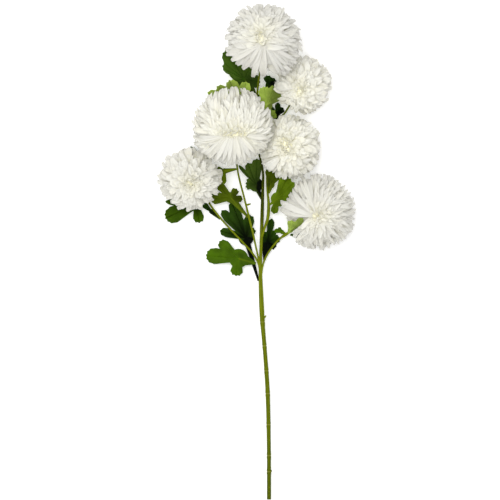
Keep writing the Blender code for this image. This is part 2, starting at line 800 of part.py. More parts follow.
def petal_mesh(name, bloom, theta, phi, width, length):
    """A blade with a flat face towards the heart and a keel behind it, rooted inside the core."""
    side, up, face = bloom_frame(bloom)
    sweep = Vector(bloom.sweep)
    push = (math.cos(phi) * sweep.x + math.sin(phi) * sweep.y) * math.sin(min(theta * 1.6, math.pi)) ** 2
    theta = theta + push
    spoke = side * math.cos(phi) + up * math.sin(phi)
    out = face * math.cos(theta) + spoke * math.sin(theta)
    inward = face * math.sin(theta) - spoke * math.cos(theta)
    across = out.cross(inward)
    curl = 0.10 - 0.20 * min(1.0, theta / math.radians(110))
    centre = Vector(bloom.centre)

    def place(share, half_width, lift):
        reached = share * bloom.radius * (1 + (length - 1) * max(0.0, (share - 0.5) * 2))
        bend = curl * bloom.radius * max(0.0, (share - CORE_SHARE) / (1 - CORE_SHARE)) ** 2
        at = centre + out * reached + inward * (bend + lift) + across * half_width
        return squeezed(at, name)

    root, tip = place(PETAL_ROOT, 0, 0), place(1.0, 0, 0)
    shoulder = [place(PETAL_SHOULDER, w, lift) for w, lift in ((-width, 0), (width, 0), (0, -PETAL_KEEL))]
    bm = bmesh.new()
    first, last = bm.verts.new(root), bm.verts.new(tip)
    ring = [bm.verts.new(p) for p in shoulder]
    for a, b in zip(ring, ring[1:] + ring[:1]):
        bm.faces.new((first, a, b))
        bm.faces.new((last, b, a))
    return mesh_from(bm, "petal")


def is_clear(mesh, greens):
    tree = tree_of(mesh)
    if any(tree.overlap(green) for green, _ in greens):
        return False
    return all(green.find_nearest(p, room)[0] is None for p in edge_samples(mesh) for green, room in greens)


def bent_clear(name, bloom, theta, phi, width, greens):
    """The petal's mesh, tipped or shortened until it is clear of leaves and stalks, or None."""
    for length in LENGTH_TRIES:
        for tilt in TILT_TRIES:
            mesh = petal_mesh(name, bloom, theta - math.radians(tilt), phi, width, length)
            if is_clear(mesh, greens):
                return mesh
            bpy.data.meshes.remove(mesh)
    return None


def petal_places(bloom, draw):
    """(angle from the face, angle round it) of each petal, ring by ring."""
    calyx = unit(bloom.calyx_way)
    side, up, face = bloom_frame(bloom)
    for ring, degrees in enumerate(RING_ANGLES):
        count = max(3, round(2 * math.pi * math.sin(math.radians(degrees)) / PETAL_SPACING))
        for i in range(count):
            phi = 2 * math.pi * (i + 0.5 * (ring % 2)) / count + draw.uniform(-0.06, 0.06)
            theta = math.radians(degrees) + draw.uniform(-0.04, 0.04)
            out = face * math.cos(theta) + (side * math.cos(phi) + up * math.sin(phi)) * math.sin(theta)
            if out.dot(calyx) < math.cos(math.radians(46)):
                yield theta, phi


def make_bloom(name, bloom, greens, home, cutter):
    draw = random.Random(SEED + list(BLOOMS).index(name))
    petals = collection("petals")
    half_width = bloom.radius * PETAL_SPACING * PETAL_GAP_SHARE / 2
    for theta, phi in petal_places(bloom, draw):
        mesh = bent_clear(name, bloom, theta, phi, half_width, greens)
        if mesh:
            add_object("petal", mesh, petals)
    bm = bmesh.new()
    bmesh.ops.create_icosphere(bm, subdivisions=2, radius=bloom.radius * CORE_SHARE)
    way = unit(bloom.calyx_way)
    for vertex in bm.verts:
        vertex.co -= way * max(0.0, vertex.co.dot(way) - seat_depth(bloom))
    bmesh.ops.translate(bm, vec=bloom.centre, verts=bm.verts)
    return joined("bloom_" + name, mesh_from(bm, "core"), petals, home, "petal", cutter)


def table_cutter(home):
    """A block whose top is the table, which flattens what rests there."""
    bm = bmesh.new()
    bmesh.ops.create_cube(bm, size=1.0)
    bmesh.ops.scale(bm, vec=(1.0, 1.4, 0.1), verts=bm.verts)
    bmesh.ops.translate(bm, vec=(0.0, 0.0, -0.05), verts=bm.verts)
    cutter = add_object("table_block", mesh_from(bm, "table_block"), home)
    cutter.hide_render = True
    cutter.display_type = "WIRE"
    return cutter


def main():
    clear_scene()
    spray = collection("pompon_chrysanthemum")
    helpers = collection("cutters")
    cutter = table_cutter(helpers)
    stem = make_stem(spray, cutter)
    stem_tree = tree_of(stem.data)
    greens = [(stem_tree, PETAL_CLEARANCE)]
    for name, leaf in LEAVES.items():
        leaf_tree = make_leaf(name, leaf, stem_tree, spray)
        greens.append((leaf_tree, LEAF_THICKNESS / 2 + PETAL_CLEARANCE))
    for name, bloom in BLOOMS.items():
        calyx = make_calyx(name, bloom, spray)
        greens.append((tree_of(calyx.data), PETAL_CLEARANCE))
    for name, bloom in BLOOMS.items():
        make_bloom(name, bloom, greens, spray, cutter)


main()
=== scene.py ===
"""The looks of a cut spray of white pompon chrysanthemum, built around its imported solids.

Lengths are metres, but for the routes and the leaves, which are listed in millimetres. The stem runs along Y
with its cut end at -Y, and Z points up from the table at Z = 0.
"""

import math
import random
from collections import namedtuple

import bmesh
import bpy
import numpy as np
from bpy.props import FloatProperty, FloatVectorProperty, IntProperty, PointerProperty
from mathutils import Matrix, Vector
from mathutils.bvhtree import BVHTree


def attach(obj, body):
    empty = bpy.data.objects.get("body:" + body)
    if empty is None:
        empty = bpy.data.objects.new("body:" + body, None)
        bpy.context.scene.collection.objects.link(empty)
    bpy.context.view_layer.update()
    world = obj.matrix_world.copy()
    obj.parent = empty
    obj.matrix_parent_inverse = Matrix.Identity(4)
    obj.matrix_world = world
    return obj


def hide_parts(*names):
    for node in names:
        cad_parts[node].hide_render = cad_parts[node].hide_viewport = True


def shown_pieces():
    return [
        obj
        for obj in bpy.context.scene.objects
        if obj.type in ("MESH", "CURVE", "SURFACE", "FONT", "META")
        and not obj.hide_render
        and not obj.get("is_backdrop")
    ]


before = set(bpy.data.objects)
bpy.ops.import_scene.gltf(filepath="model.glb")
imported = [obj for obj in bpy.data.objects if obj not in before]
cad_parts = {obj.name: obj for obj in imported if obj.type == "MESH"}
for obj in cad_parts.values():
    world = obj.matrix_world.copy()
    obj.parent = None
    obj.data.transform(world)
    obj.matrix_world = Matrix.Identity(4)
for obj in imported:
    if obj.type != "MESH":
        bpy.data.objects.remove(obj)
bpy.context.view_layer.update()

bl_info = {
    "name": "Pompon Chrysanthemum Spray",
    "version": (1, 0, 0),
    "blender": (4, 5, 0),
    "location": "3D View > Sidebar > Spray",
    "description": "Builds a cut spray of white pompon chrysanthemum with its stage",
    "category": "Object",
}

# The stem and its stalks. A swelling is its middle, its reach and its height. Below the fork its middle and
# reach are shares of the way up to the fork, above it they lie along Y, and on a stalk its middle is a point.
# A joint's ring and its groove are a reach and a height
STEM_FOOT_RADIUS = 0.0030
STEM_FORK_RADIUS = 0.0023
STEM_TIP_RADIUS = 0.0015
STEM_TAPER_LENGTH = 0.15
LOWER_SWELLINGS = ((0.84, 0.13, 0.0011), (0.50, 0.20, 0.0005))
UPPER_SWELLING = (0.055, 0.045, 0.0007)
STALK_RADIUS = 0.0014
STALK_FLARE = 0.45
STALK_FLARE_REACH = 0.007
STALK_SWELLINGS = (((0.0400, 0.0240, 0.0094), 0.006, 0.0010), ((0.0152, 0.0560, 0.0122), 0.022, 0.0010))
FORK_Y = -0.022
JOINTS_Y = (-0.3075, -0.2850, -0.2415, -0.1980, -0.1660, -0.1310, -0.0975)
JOINT_RING = (0.0030, 0.0006)
JOINT_GROOVE = (0.0010, 0.0008)
CALYX_ENTRY = 0.007
RIBS = 5
RIB_TURN = 6.0
THICK_TUBE = 0.002
STEM_LIFT = 0.0001
STEM_STEP = 0.0013
STALK_STEP = 0.0018
STEM_SIDES = 20
STUB_RINGS = 9
STUB_ROUNDING = 0.97

# Bud scars: place, direction, radius and length
BUD_SCARS = (
    ((0.0102, -0.0905, 0.0085), (1.0, 0.9, 0.2), 0.0015, 0.0064),
    ((0.0180, -0.3070, 0.0034), (1.0, 0.5, 0.2), 0.0018, 0.0052),
    ((-0.0120, 0.0675, 0.0205), (1.0, 0.3, 0.2), 0.0014, 0.0064),
)

# Where blooms and calyxes follow the solids
CORE_SHARE = 0.46
CALYX_RIM_ANGLE = 33
CALYX_HEIGHT = 0.012
SOCKET_DEPTH = 0.0045
SEAT_GAP = 0.0003
SQUEEZE_DEPTH = 0.005
BLOOM_CLEARANCE = 0.0003

# Leaves. A lobe has shares of its length: where it is widest, where it grows blunt and where its teeth begin.
# An edge wave is how often it rises on the way round a leaf, and its share of the height
STALK_HALF_WIDTH = 0.0014
LOBE_ROOT = 0.50
LOBE_WIDEST = 0.70
LOBE_SWELL = 1.3
LOBE_BLUNT = 0.66
LOBE_TIP = 0.34
TOOTH_DEPTH = 0.0016
TOOTH_WIDTH = 0.0054
TOOTHED_HALF_WIDTH = 0.008
TEETH_START = 0.70
TEETH_END = 0.85
LEAF_FOLD = 0.0012
WIDE_GAP = 1.2
WIDE_REACH = 0.02
LEAF_RAYS = 300
LEAF_RINGS = (0.10, 0.25, 0.42, 0.58, 0.74, 0.88, 0.96, 1.0)
REACH_STEPS = 500
LEAST_ALONG = 0.02
VEIN_SLANT = 1.1
VEIN_START = 0.008
PILLOW_REACH = 0.0016
RIDGE_SHARE = 0.16
EDGE_WAVES = ((7, 1.0), (13, 0.6))
WAVE_START = 6.3
SEATED_PULL = 0.4
SEAT_STEP = 0.0001
LEAF_LIFT = 0.0002
SHADE_SPREAD = 0.85
HUB_SHADE_LOSS = 0.7
SIDE_SHADE_START = 0.4

# The photo's frame on the table, and the height at which its scale holds
PHOTO_SIDE = 0.700
PHOTO_MIDDLE = (-0.0105, 0.0035)
MIDDLE_HEIGHT = 0.050

Bloom = namedtuple("Bloom", "centre radius calyx_way route")
Lobe = namedtuple("Lobe", "tip half_width")
Leaf = namedtuple("Leaf", "base hub neck palm tint lobes")


def metres(points):
    """Lengths in metres, from rows of millimetres."""
    return tuple(tuple(round(value / 1000, 4) for value in point) for point in points)


def new_leaf(tint, neck, palm, base, hub, *lobes):
    """A leaf from millimetres. Each lobe is the place of its tip and half its width."""
    base, hub, (neck, palm), *lobes = metres((base, hub, (neck, palm), *lobes))
    return Leaf(base, hub, neck, palm, tint, [Lobe(lobe[:3], lobe[3]) for lobe in lobes])


# Each stem or stalk follows a smooth curve through these points, then enters its bloom's calyx
ROUTES = {
    "stem": metres((
        (16.2, -346.5, 3.0), (16.2, -289.0, 3.2), (15.5, -242.0, 4.0), (14.3, -199.5, 5.0),
        (12.3, -164.5, 6.0), (9.8, -131.0, 7.0), (7.0, -96.0, 8.0), (5.0, -56.0, 9.2), (4.1, -24.5, 10.0),
        (5.0, 10.0, 10.8), (6.2, 45.5, 11.8), (7.4, 87.5, 13.5), (7.5, 115.0, 15.5), (0.0, 148.0, 18.0),
        (-4.0, 176.0, 21.5), (-2.0, 201.0, 26.0), (-0.2, 226.0, 33.0),
    )),
    "left": metres((
        (4.3, -40.0, 9.6), (1.5, -16.0, 10.4), (-7.7, 0.0, 11.2), (-19.5, 13.0, 11.6),
        (-28.3, 22.4, 11.6), (-37.7, 32.3, 11.0), (-49.6, 45.5, 10.0), (-57.7, 55.4, 9.0),
        (-66.0, 66.5, 7.5),
    )),
    "centre": metres((
        (4.2, -33.0, 9.8), (1.8, -11.0, 11.2), (-2.2, 8.0, 13.0), (-6.0, 26.0, 15.0), (-10.0, 42.0, 17.0),
        (-14.5, 60.0, 19.5), (-19.5, 80.2, 22.5), (-24.5, 99.0, 25.5), (-28.3, 118.0, 30.0),
    )),
    "mid_right": metres((
        (5.6, 21.5, 11.2), (9.5, 33.0, 11.8), (14.7, 49.0, 12.2), (15.7, 68.0, 12.2), (14.5, 82.0, 11.8),
        (13.4, 97.0, 11.2), (14.0, 111.0, 10.0), (20.0, 121.0, 7.5),
    )),
    "upper_right": metres((
        (-1.5, 153.0, 18.5), (5.0, 166.0, 15.0), (16.0, 178.0, 12.0), (28.0, 186.0, 10.0),
        (38.5, 196.0, 8.0),
    )),
    "lower_right": metres((
        (4.3, -36.0, 9.7), (7.5, -18.0, 9.6), (12.5, -5.0, 9.2), (20.0, 6.5, 8.8), (29.0, 17.0, 8.6),
        (37.0, 23.5, 9.2), (48.0, 30.5, 11.0),
    )),
}

# calyx_way points from a bloom's heart to where its stalk comes in
BLOOMS = {
    "top": Bloom((0.0090, 0.2945, 0.0760), 0.0530, (-0.10, -0.70, -1.0), "stem"),
    "upper_right": Bloom((0.0637, 0.2345, 0.0276), 0.0400, (-0.57, -0.82, -1.0), "upper_right"),
    "centre": Bloom((-0.0350, 0.1743, 0.0770), 0.0550, (0.10, -0.70, -1.0), "centre"),
    "mid_right": Bloom((0.0455, 0.1477, 0.0324), 0.0435, (-0.50, -0.60, -1.0), "mid_right"),
    "left": Bloom((-0.0945, 0.1036, 0.0330), 0.0440, (0.50, -0.50, -1.0), "left"),
    "lower_right": Bloom((0.0854, 0.0567, 0.0349), 0.0515, (-0.70, -0.50, -1.0), "lower_right"),
}

# A leaf grows from its base to its hub, and its lobes spread from there, each to a blunt tip. Its neck is
# half its width where its stalk meets the blade, and its palm is how far the blade goes at least
LEAVES = {
    "low_left": new_leaf(
        "mid", 11.5, 13.5, (-2.5, -15.5, 10.0), (-26.6, -8.4, 12.5),
        (-53.9, 16.1, 11.5, 8.2), (-72.9, -3.5, 9.5, 11.6), (-30.4, -33.5, 8.5, 9.0),
    ),
    "under_left": new_leaf(
        "mid", 3.0, 4.0, (-75.0, 72.0, 5.5), (-86.1, 67.9, 4.0),
        (-129.5, 71.4, 3.5, 4.4), (-129.8, 47.6, 3.0, 12.2), (-81.3, 41.0, 2.5, 7.9),
    ),
    "along_left": new_leaf(
        "dark", 3.4, 3.0, (-53.1, 46.1, 6.0), (-65.1, 58.1, 4.5),
        (-76.6, 68.7, 3.0, 4.2),
    ),
    "behind_left": new_leaf(
        "dark", 3.0, 5.0, (-74.5, 83.4, 5.0), (-79.9, 116.5, 4.5),
        (-93.9, 149.1, 6.0, 6.0), (-79.5, 146.0, 6.0, 5.0),
    ),
    "dark_centre": new_leaf(
        "dark", 4.6, 10.5, (1.1, -39.9, 7.4), (-16.1, 20.3, 4.6),
        (-5.0, 35.0, 5.0, 6.4), (-10.5, 53.5, 5.0, 7.8), (-37.0, 72.1, 4.6, 8.0), (-50.5, 59.5, 4.6, 7.0),
        (-53.1, 30.7, 4.4, 6.6),
    ),
    "olive": new_leaf(
        "olive", 5.4, 8.0, (-15.5, 48.9, 17.0), (-37.0, 77.0, 14.5),
        (-20.9, 74.5, 15.0, 5.0), (-29.0, 89.7, 15.0, 5.6), (-57.0, 98.0, 12.5, 6.0),
        (-67.1, 76.3, 11.5, 9.0),
    ),
    "under_centre": new_leaf(
        "olive", 3.8, 4.0, (-29.4, 117.0, 28.5), (-46.2, 114.1, 27.5),
        (-58.1, 116.9, 26.5, 4.6), (-47.5, 95.3, 24.5, 3.8),
    ),
    "heart": new_leaf(
        "dark", 5.0, 10.0, (5.2, 74.9, 9.8), (-2.1, 95.2, 6.8),
        (-0.7, 132.3, 7.4, 8.0), (-14.1, 126.1, 9.5, 6.4), (-26.5, 122.5, 12.0, 2.8),
        (-17.1, 97.3, 8.0, 9.2),
    ),
    "beside_stem": new_leaf(
        "olive", 4.4, 5.6, (16.5, 83.0, 14.5), (18.6, 95.2, 16.5),
        (30.9, 112.1, 17.0, 6.0), (18.2, 120.4, 17.0, 7.8),
    ),
    "bright_right": new_leaf(
        "bright", 3.4, 9.2, (18.1, 67.1, 13.8), (28.0, 75.5, 17.0),
        (22.8, 53.9, 13.5, 5.4), (33.2, 64.3, 16.0, 6.4), (55.2, 82.0, 26.0, 8.4),
        (52.2, 98.5, 27.0, 8.0), (43.0, 107.2, 24.0, 9.8),
    ),
    "dark_right": new_leaf(
        "dark", 8.2, 9.6, (8.7, -11.5, 6.2), (14.0, 14.7, 4.6),
        (26.7, 7.7, 4.0, 6.2), (31.8, 20.6, 4.2, 6.4), (24.8, 31.2, 4.4, 4.4), (20.3, 47.9, 5.0, 5.0),
        (9.0, 29.7, 4.6, 6.0),
    ),
    "neck_right": new_leaf(
        "pale", 3.6, 4.0, (42.4, 27.0, 13.6), (46.2, 31.5, 24.0),
        (47.7, 45.5, 56.0, 6.0), (64.0, 47.7, 78.0, 5.0),
    ),
    "neck_left": new_leaf(
        "mid", 2.6, 3.0, (38.5, 26.8, 12.5), (34.5, 28.8, 14.0),
        (23.4, 31.2, 15.0, 3.4), (29.0, 35.2, 14.5, 3.0),
    ),
    "under_lower_right": new_leaf(
        "dark", 3.2, 5.0, (47.2, 23.2, 6.5), (59.9, 21.7, 4.5),
        (75.5, 14.1, 4.0, 5.0), (67.9, 26.0, 4.0, 5.0),
    ),
    "upper_left": new_leaf(
        "dark", 9.5, 13.0, (-3.6, 221.1, 26.5), (-18.2, 242.9, 25.0),
        (4.0, 239.0, 24.5, 9.2), (-7.5, 265.5, 27.0, 11.0), (-45.5, 284.1, 30.0, 11.4),
        (-47.5, 266.7, 28.5, 10.0), (-38.5, 253.3, 27.0, 7.4), (-35.4, 239.5, 25.0, 5.4),
        (-25.9, 227.5, 24.5, 4.6),
    ),
    "pale_left": new_leaf(
        "pale", 6.4, 10.0, (-5.0, 191.9, 23.5), (-21.5, 206.0, 29.0),
        (-16.0, 240.0, 34.0, 8.4), (-40.0, 242.0, 35.5, 9.4), (-57.5, 233.0, 37.0, 7.8),
        (-70.5, 224.5, 37.0, 7.6),
    ),
    "pale_right": new_leaf(
        "pale", 4.8, 8.5, (-0.4, 192.5, 25.0), (12.6, 206.5, 32.0),
        (34.5, 222.5, 33.0, 6.2), (26.2, 233.7, 35.0, 8.0), (8.5, 233.0, 38.5, 8.8),
        (1.0, 215.5, 36.0, 6.0),
    ),
    "dark_upper_right": new_leaf(
        "dark", 3.4, 6.0, (1.5, 219.0, 28.0), (17.2, 234.5, 22.0),
        (27.3, 232.4, 22.0, 5.0), (23.9, 244.9, 22.0, 5.4), (12.2, 248.5, 22.0, 5.4),
    ),
    "between": new_leaf(
        "bright", 3.0, 5.0, (15.5, 179.5, 14.0), (18.9, 189.7, 18.0),
        (8.0, 188.6, 18.5, 4.6), (19.5, 200.9, 20.0, 6.4), (26.5, 194.2, 17.0, 4.6),
    ),
    "low_upper_right": new_leaf(
        "dark", 3.4, 5.0, (23.5, 183.3, 7.6), (27.0, 193.3, 4.6),
        (36.3, 203.4, 3.6, 5.0), (29.0, 210.7, 4.4, 4.0), (15.0, 204.3, 4.6, 5.0),
    ),
}


# How each bloom's petals grow.
# half_width and spacing are lengths: how wide a petal is and how far apart two tips are. broad is how many
# times wider petals are near the heart.
# lean and hook are degrees: how far a petal leans over the ball, and how far its end turns on or back.
# root and heart are shares of the radius: where petals start, and how high the heart stands.
# cup, point, notch and ruffle are shares of half_width: how deep the trough is, how pointed the end is, how
# deep its teeth are and how far its rim waves. grey is how much of the rims' grey the whole bloom has.
# low is where the ball's petals stay short: its bearing and spread in degrees, and their share of the radius.
# Petals lean away from the nearest seam. A seam is a crease in the bloom's face, from one point to another,
# as shares of the radius to the right of and above the bloom's middle in the photo.
# A fan is a set of long petals over the ball, from a line on its face to an arc. The arc's bearing, spread
# and fall from the top are degrees.
Habit = namedtuple(
    "Habit", "half_width broad spacing lean hook root heart cup point notch ruffle grey low seams fans"
)
Fan = namedtuple("Fan", "start end bearing spread fall count half_width reach point")
Petal = namedtuple(
    "Petal", "way start half_width root reach hook cup point notch ruffle twist tint depth fade"
)

HABITS = {
    "top": Habit(
        0.0037, 1.2, 0.0086, 54, -5, 0.70, 0.94, 0.38, 1.3, 0.60, 0.20, 0.50, (250, 50, 0.74),
        (((-0.13, -0.02), (-0.12, 0.26)),),
        (
            Fan((-0.16, -0.08), (-0.08, -0.14), 214, 22, 90, 4, 0.0058, 1.00, 1.6),
            Fan((-0.12, -0.10), (-0.06, -0.14), 236, 12, 70, 2, 0.0056, 0.92, 1.6),
            Fan((-0.06, -0.14), (0.02, -0.14), -99, 15, 86, 2, 0.0050, 0.98, 1.8),
            Fan((0.04, -0.14), (0.06, -0.14), -74, 4, 64, 1, 0.0096, 0.84, 0.8),
            Fan((0.02, -0.12), (0.08, -0.08), -46, 20, 80, 5, 0.0026, 1.00, 2.0),
        ),
    ),
    "upper_right": Habit(
        0.0046, 1.5, 0.0094, 46, -6, 0.60, 0.92, 0.38, 0.60, 0.36, 0.30, 0.15, None,
        (((-0.18, -0.26), (-0.10, -0.26)),),
        (
            Fan((-0.40, 0.00), (-0.40, -0.20), 186, 14, 90, 2, 0.0066, 1.02, 0.5),
        ),
    ),
    "centre": Habit(
        0.0035, 1.1, 0.0084, 54, -5, 0.70, 0.95, 0.38, 1.3, 0.60, 0.20, 0.16, (-92, 52, 0.86),
        (((-0.26, -0.25), (0.36, -0.22)),),
        (
            Fan((-0.24, -0.27), (0.32, -0.25), -90, 50, 94, 15, 0.0036, 0.98, 2.2),
            Fan((-0.18, -0.27), (0.26, -0.25), -88, 42, 72, 9, 0.0034, 1.01, 2.2),
            Fan((-0.28, -0.24), (-0.26, -0.27), 192, 12, 84, 3, 0.0038, 0.99, 1.8),
            Fan((0.40, -0.25), (0.40, -0.22), -14, 12, 84, 3, 0.0036, 0.99, 1.8),
        ),
    ),
    "mid_right": Habit(
        0.0046, 1.5, 0.0092, 46, -6, 0.60, 0.92, 0.38, 0.60, 0.38, 0.34, 0.06, None,
        (((-0.24, 0.16), (-0.22, 0.26)), ((-0.13, -0.08), (-0.02, -0.04))),
        (
            Fan((-0.44, -0.36), (-0.36, -0.46), 222, 16, 92, 3, 0.0066, 1.02, 0.5),
        ),
    ),
    "left": Habit(
        0.0048, 1.5, 0.0096, 44, -8, 0.60, 0.92, 0.40, 0.60, 0.34, 0.26, 0.34, None,
        (((-0.02, -0.22), (0.02, -0.22)),), (),
    ),
    "lower_right": Habit(
        0.0033, 1.1, 0.0082, 52, -5, 0.70, 0.94, 0.38, 1.5, 0.60, 0.20, 0.38, (165, 45, 0.88),
        (((-0.14, -0.16), (-0.02, -0.10)),),
        (
            Fan((-0.20, -0.10), (-0.20, -0.16), 172, 14, 92, 3, 0.0046, 1.06, 2.2),
            Fan((-0.18, -0.06), (-0.20, -0.10), 146, 14, 84, 3, 0.0036, 0.98, 2.2),
            Fan((-0.14, -0.04), (-0.04, -0.04), 112, 14, 86, 3, 0.0032, 1.00, 2.2),
        ),
    ),
}

# Painted shade, where a leaf's green is deep: round its hub, and on its side that faces a bearing in degrees.
# light is how far the green is lifted towards the pale green elsewhere: a paler green of some leaves, and
# painted light on leaves that lie in shade
Shade = namedtuple("Shade", "hub side bearing light")
SHADES = {
    "dark_centre": Shade(1.00, 0.85, -60, 0.03),
    "dark_right": Shade(1.00, 0.85, -90, 0.0),
    "heart": Shade(0.75, 1.00, -10, 0.20),
    "dark_upper_right": Shade(0.90, 0.60, 0, 0.0),
    "low_upper_right": Shade(0.95, 0.60, 0, 0.0),
    "along_left": Shade(0.90, 0.30, -90, 0.0),
    "under_lower_right": Shade(0.90, 0.30, -90, 0.0),
    "upper_left": Shade(0.35, 0.40, -40, 0.12),
    "behind_left": Shade(0.60, 0.0, 0, 0.0),
    "olive": Shade(0.30, 0.40, 20, 0.03),
    "beside_stem": Shade(0.50, 0.40, 180, 0.0),
    "bright_right": Shade(0.30, 0.20, -90, 0.05),
    "under_left": Shade(0.80, 0.35, 90, 0.0),
    "low_left": Shade(0.10, 0.25, 20, 0.02),
    "pale_left": Shade(0.25, 0.35, 165, 0.0),
    "pale_right": Shade(0.05, 0.62, 15, 0.0),
    "between": Shade(0.20, 0.20, 0, 1.0),
    "neck_right": Shade(0.00, 0.55, -15, 0.0),
}
NO_SHADE = Shade(0.0, 0.0, 0, 0.0)

# A petal's own shape, at shares of its length: where its end begins to turn, where its width is full and
# where it tapers. Its point and its teeth cut away a part of its end. The phases say how far a petal's drawn
# number shifts its teeth and its ruffle
PETAL_ROWS = np.linspace(0.0, 1.0, 9)
PETAL_COLUMNS = np.linspace(-1.0, 1.0, 7)
PETAL_ARCH = 1.7
LEAN_LENGTH = 0.85
TURN_START = 0.6
TURN_SPEED = 5
ROOT_WIDTH = 0.45
FULL_WIDTH_FROM = 0.6
TAPER_START = 0.7
TAPER = 0.40
MOST_CUT = 0.6
POINT_CURVE = 1.7
SCALLOP = 0.0023
TOOTH_PHASE = 37
FLUTES = 3
FLUTE_DEPTH = 0.05
RUFFLE_WAVES = 4.2
RUFFLE_PHASE = 40

# How petals crowd on a bloom. Depths are shares of its radius, and zones are radians from the nearest seam,
# with the start and the end of each change. The core narrows over cosines and the low side over radians from
# the top
GOLDEN_ANGLE = math.pi * (3 - math.sqrt(5))
CROWDING = 0.70
CALYX_ANGLE = 44
TIP_JITTER = 0.22
STIRS = 5
STIR_RUNS = (3, 8)
STIR_DEPTH = 0.03
LUMP_DEPTH = 0.010
SEAM_SHARES = np.linspace(0.0, 1.0, 7)
SEAM_GRIP = 30
SEAM_JITTER = 0.06
STRAYING = 0.12
SEAM_FLOOR = 0.82
SEAM_WIDTH = 0.15
INNER_CORE = 0.73
CORE_FACETS = 4
CORE_NARROWING = (-0.1, 0.6)
CORE_DEPTH = 0.3
CORE_PETAL = (0.0, 0.0, 0.5)
HEART_ZONE = (0.0, 0.45)
LEAN_ZONE = (0.0, 0.7)
STRAY_ZONE = (0.2, 0.7)
BROAD_ZONE = (0.0, 1.2)
RIM_ZONE = (0.8, 1.3)
UPRIGHT_ZONE = (1.1, 1.8)
UPRIGHT_SHARE = 0.42
LEAST_LEAN = 0.03
MOST_LEAN = 0.95
LEAST_PETAL = 0.03
MOST_REACH = 1.06
RAGGED = 0.12
RIM_NARROWING = 0.04
RIM_POINTS = 0.4
DEPTH_SPAN = 1.9
LOW_SOFTNESS = 0.25
LOW_ZONE = (0.75, 1.05)

# The least and the most of each draw, as shares of the habit's own value. The twist is in degrees
LEAN_DRAWS = (0.85, 1.15)
REACH_DRAWS = (0.95, 1.02)
SHAPE_DRAWS = {
    "hook": (0.3, 1.5), "cup": (0.5, 1.5), "point": (0.6, 1.4), "notch": (0.4, 1.4), "ruffle": (0.5, 1.6),
}
TWIST_DRAWS = (-24, 24)
LEAST_WIDTH = 0.72
WIDTH_SPAN = 0.60

# The long petals of the fans, and how the ball's petals keep under them. The cover's start and its width are
# radians, and its zone is in widths
FAN_ROOT = 0.82
FAN_CUP = 0.50
FAN_RUFFLE = 0.6
FAN_FADE = 0.5
FAN_DEPTH = 0.5
FAN_DEPTH_SPAN = 0.4
FAN_PLACE_DRAWS = (-0.15, 0.15)
FAN_FALL_DRAWS = (-11, 5)
FAN_WIDTH_DRAWS = (0.8, 1.15)
FAN_REACH_DRAWS = (0.94, 1.03)
FAN_POINT_DRAWS = (0.7, 1.3)
FAN_TWIST_DRAWS = (-22, 22)
COVER_START = 0.05
COVER_END = 0.9
COVER_WIDTH = 0.05
COVER_ZONE = (1.6, 3.6)
COVERED_SHARE = 0.92

# How a petal is bent until it is clear of leaves and stalks: degrees of tilt and shares of its length. Under
# a leaf it ducks by so many clearances
TILT_TRIES = (0, 6, -6, 12, -12, 19, -19, 27, 36)
LENGTH_TRIES = (1.0, 0.88, 0.76)
PETAL_CLEARANCE = 0.0010
DUCKING = 1.5
LEAST_SHARE = 0.6
TABLE_PRESS = 0.0002

# Calyxes. The neck's steps lead out from the socket and up from the foot. The bowl's are shares of the rim's
# radius, and heights over the top. A ring of scales is how many there are, where the first one is and how far
# each second one shifts
CUP_SIDES = 40
SOCKET_SIDES = 12
SOCKET_FLOOR = 0.6
CUP_NECK = ((0.0009, -0.0002), (0.0014, 0.0008), (0.0018, 0.0030), (0.0026, 0.0058))
CUP_BOWL = ((0.72, -0.0042), (0.88, -0.0022), (0.97, -0.0006), (0.94, 0.0), (0.5, 0.0), (0.0, 0.0))
INNER_SCALES = (13, 0.0, 0.5)
OUTER_SCALES = (9, 0.3, 0.0)
SCALE_ROWS = np.linspace(0, 1, 7)
SCALE_COLUMNS = np.linspace(-1, 1, 5)
SCALE_THICKNESS = 0.0006
SCALE_HALF_WIDTH = 0.0030
SCALE_ROOT = 0.0030
SCALE_DIP = 0.0005
SCALE_START = 0.0020
SCALE_SHORTNESS = 0.0024
SCALE_OVERHANG = 0.0010
SCALE_BULGE = 0.9
SCALE_CLIMB = 1.6
SCALE_BELLY = 0.9
SCALE_SLIMNESS = 1.25
OUTER_LENGTH = 0.8
INNER_LIFT = 0.0003
OUTER_LIFT = 0.0008

# Fine marks in the materials. A scale is how many patches there are to a metre
BLOTCH_SCALE = 70.0
GRAIN_SCALE = 900.0
MAIN_VEIN_WIDTH = 0.00045
MIDRIB_WIDTH = 0.0022
VEIN_STRAYING = 0.0012
JOINT_SCAR_WIDTH = 0.0011

# The stage
ROOM_LIGHT = 0.70
LAMP_SIZE = 2.0
LAMP_POWER = 62.0
LAMP_PLACE = (-0.35, 0.40, 3.0)
LAMP_AIM = (0.0, 0.1, 0.0)
FLOOR_GLOW = 0.22
FLOOR_DEPTH = 0.0004
SENSOR_WIDTH = 36.0
LENS = 1000.0
FAR_LIMIT = 100.0

# These keep divisions from 0
TINY = 1e-9
LEAST_NORMAL = 1e-12


# Small helpers


def unit(vector):
    vector = np.asarray(vector, float)
    return vector / np.linalg.norm(vector, axis=-1, keepdims=True)


def eased(share):
    share = np.clip(share, 0.0, 1.0)
    return share * share * (3 - 2 * share)


def through(value, zone):
    """How far a value is through a zone: 0 before it, 1 after it, and smooth between."""
    start, end = zone
    return float(eased((value - start) / (end - start)))


def node_tree(name):
    """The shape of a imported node, for finding what is near it."""
    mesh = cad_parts[name].data
    points = [vertex.co.copy() for vertex in mesh.vertices]
    return BVHTree.FromPolygons(points, [tuple(face.vertices) for face in mesh.polygons])


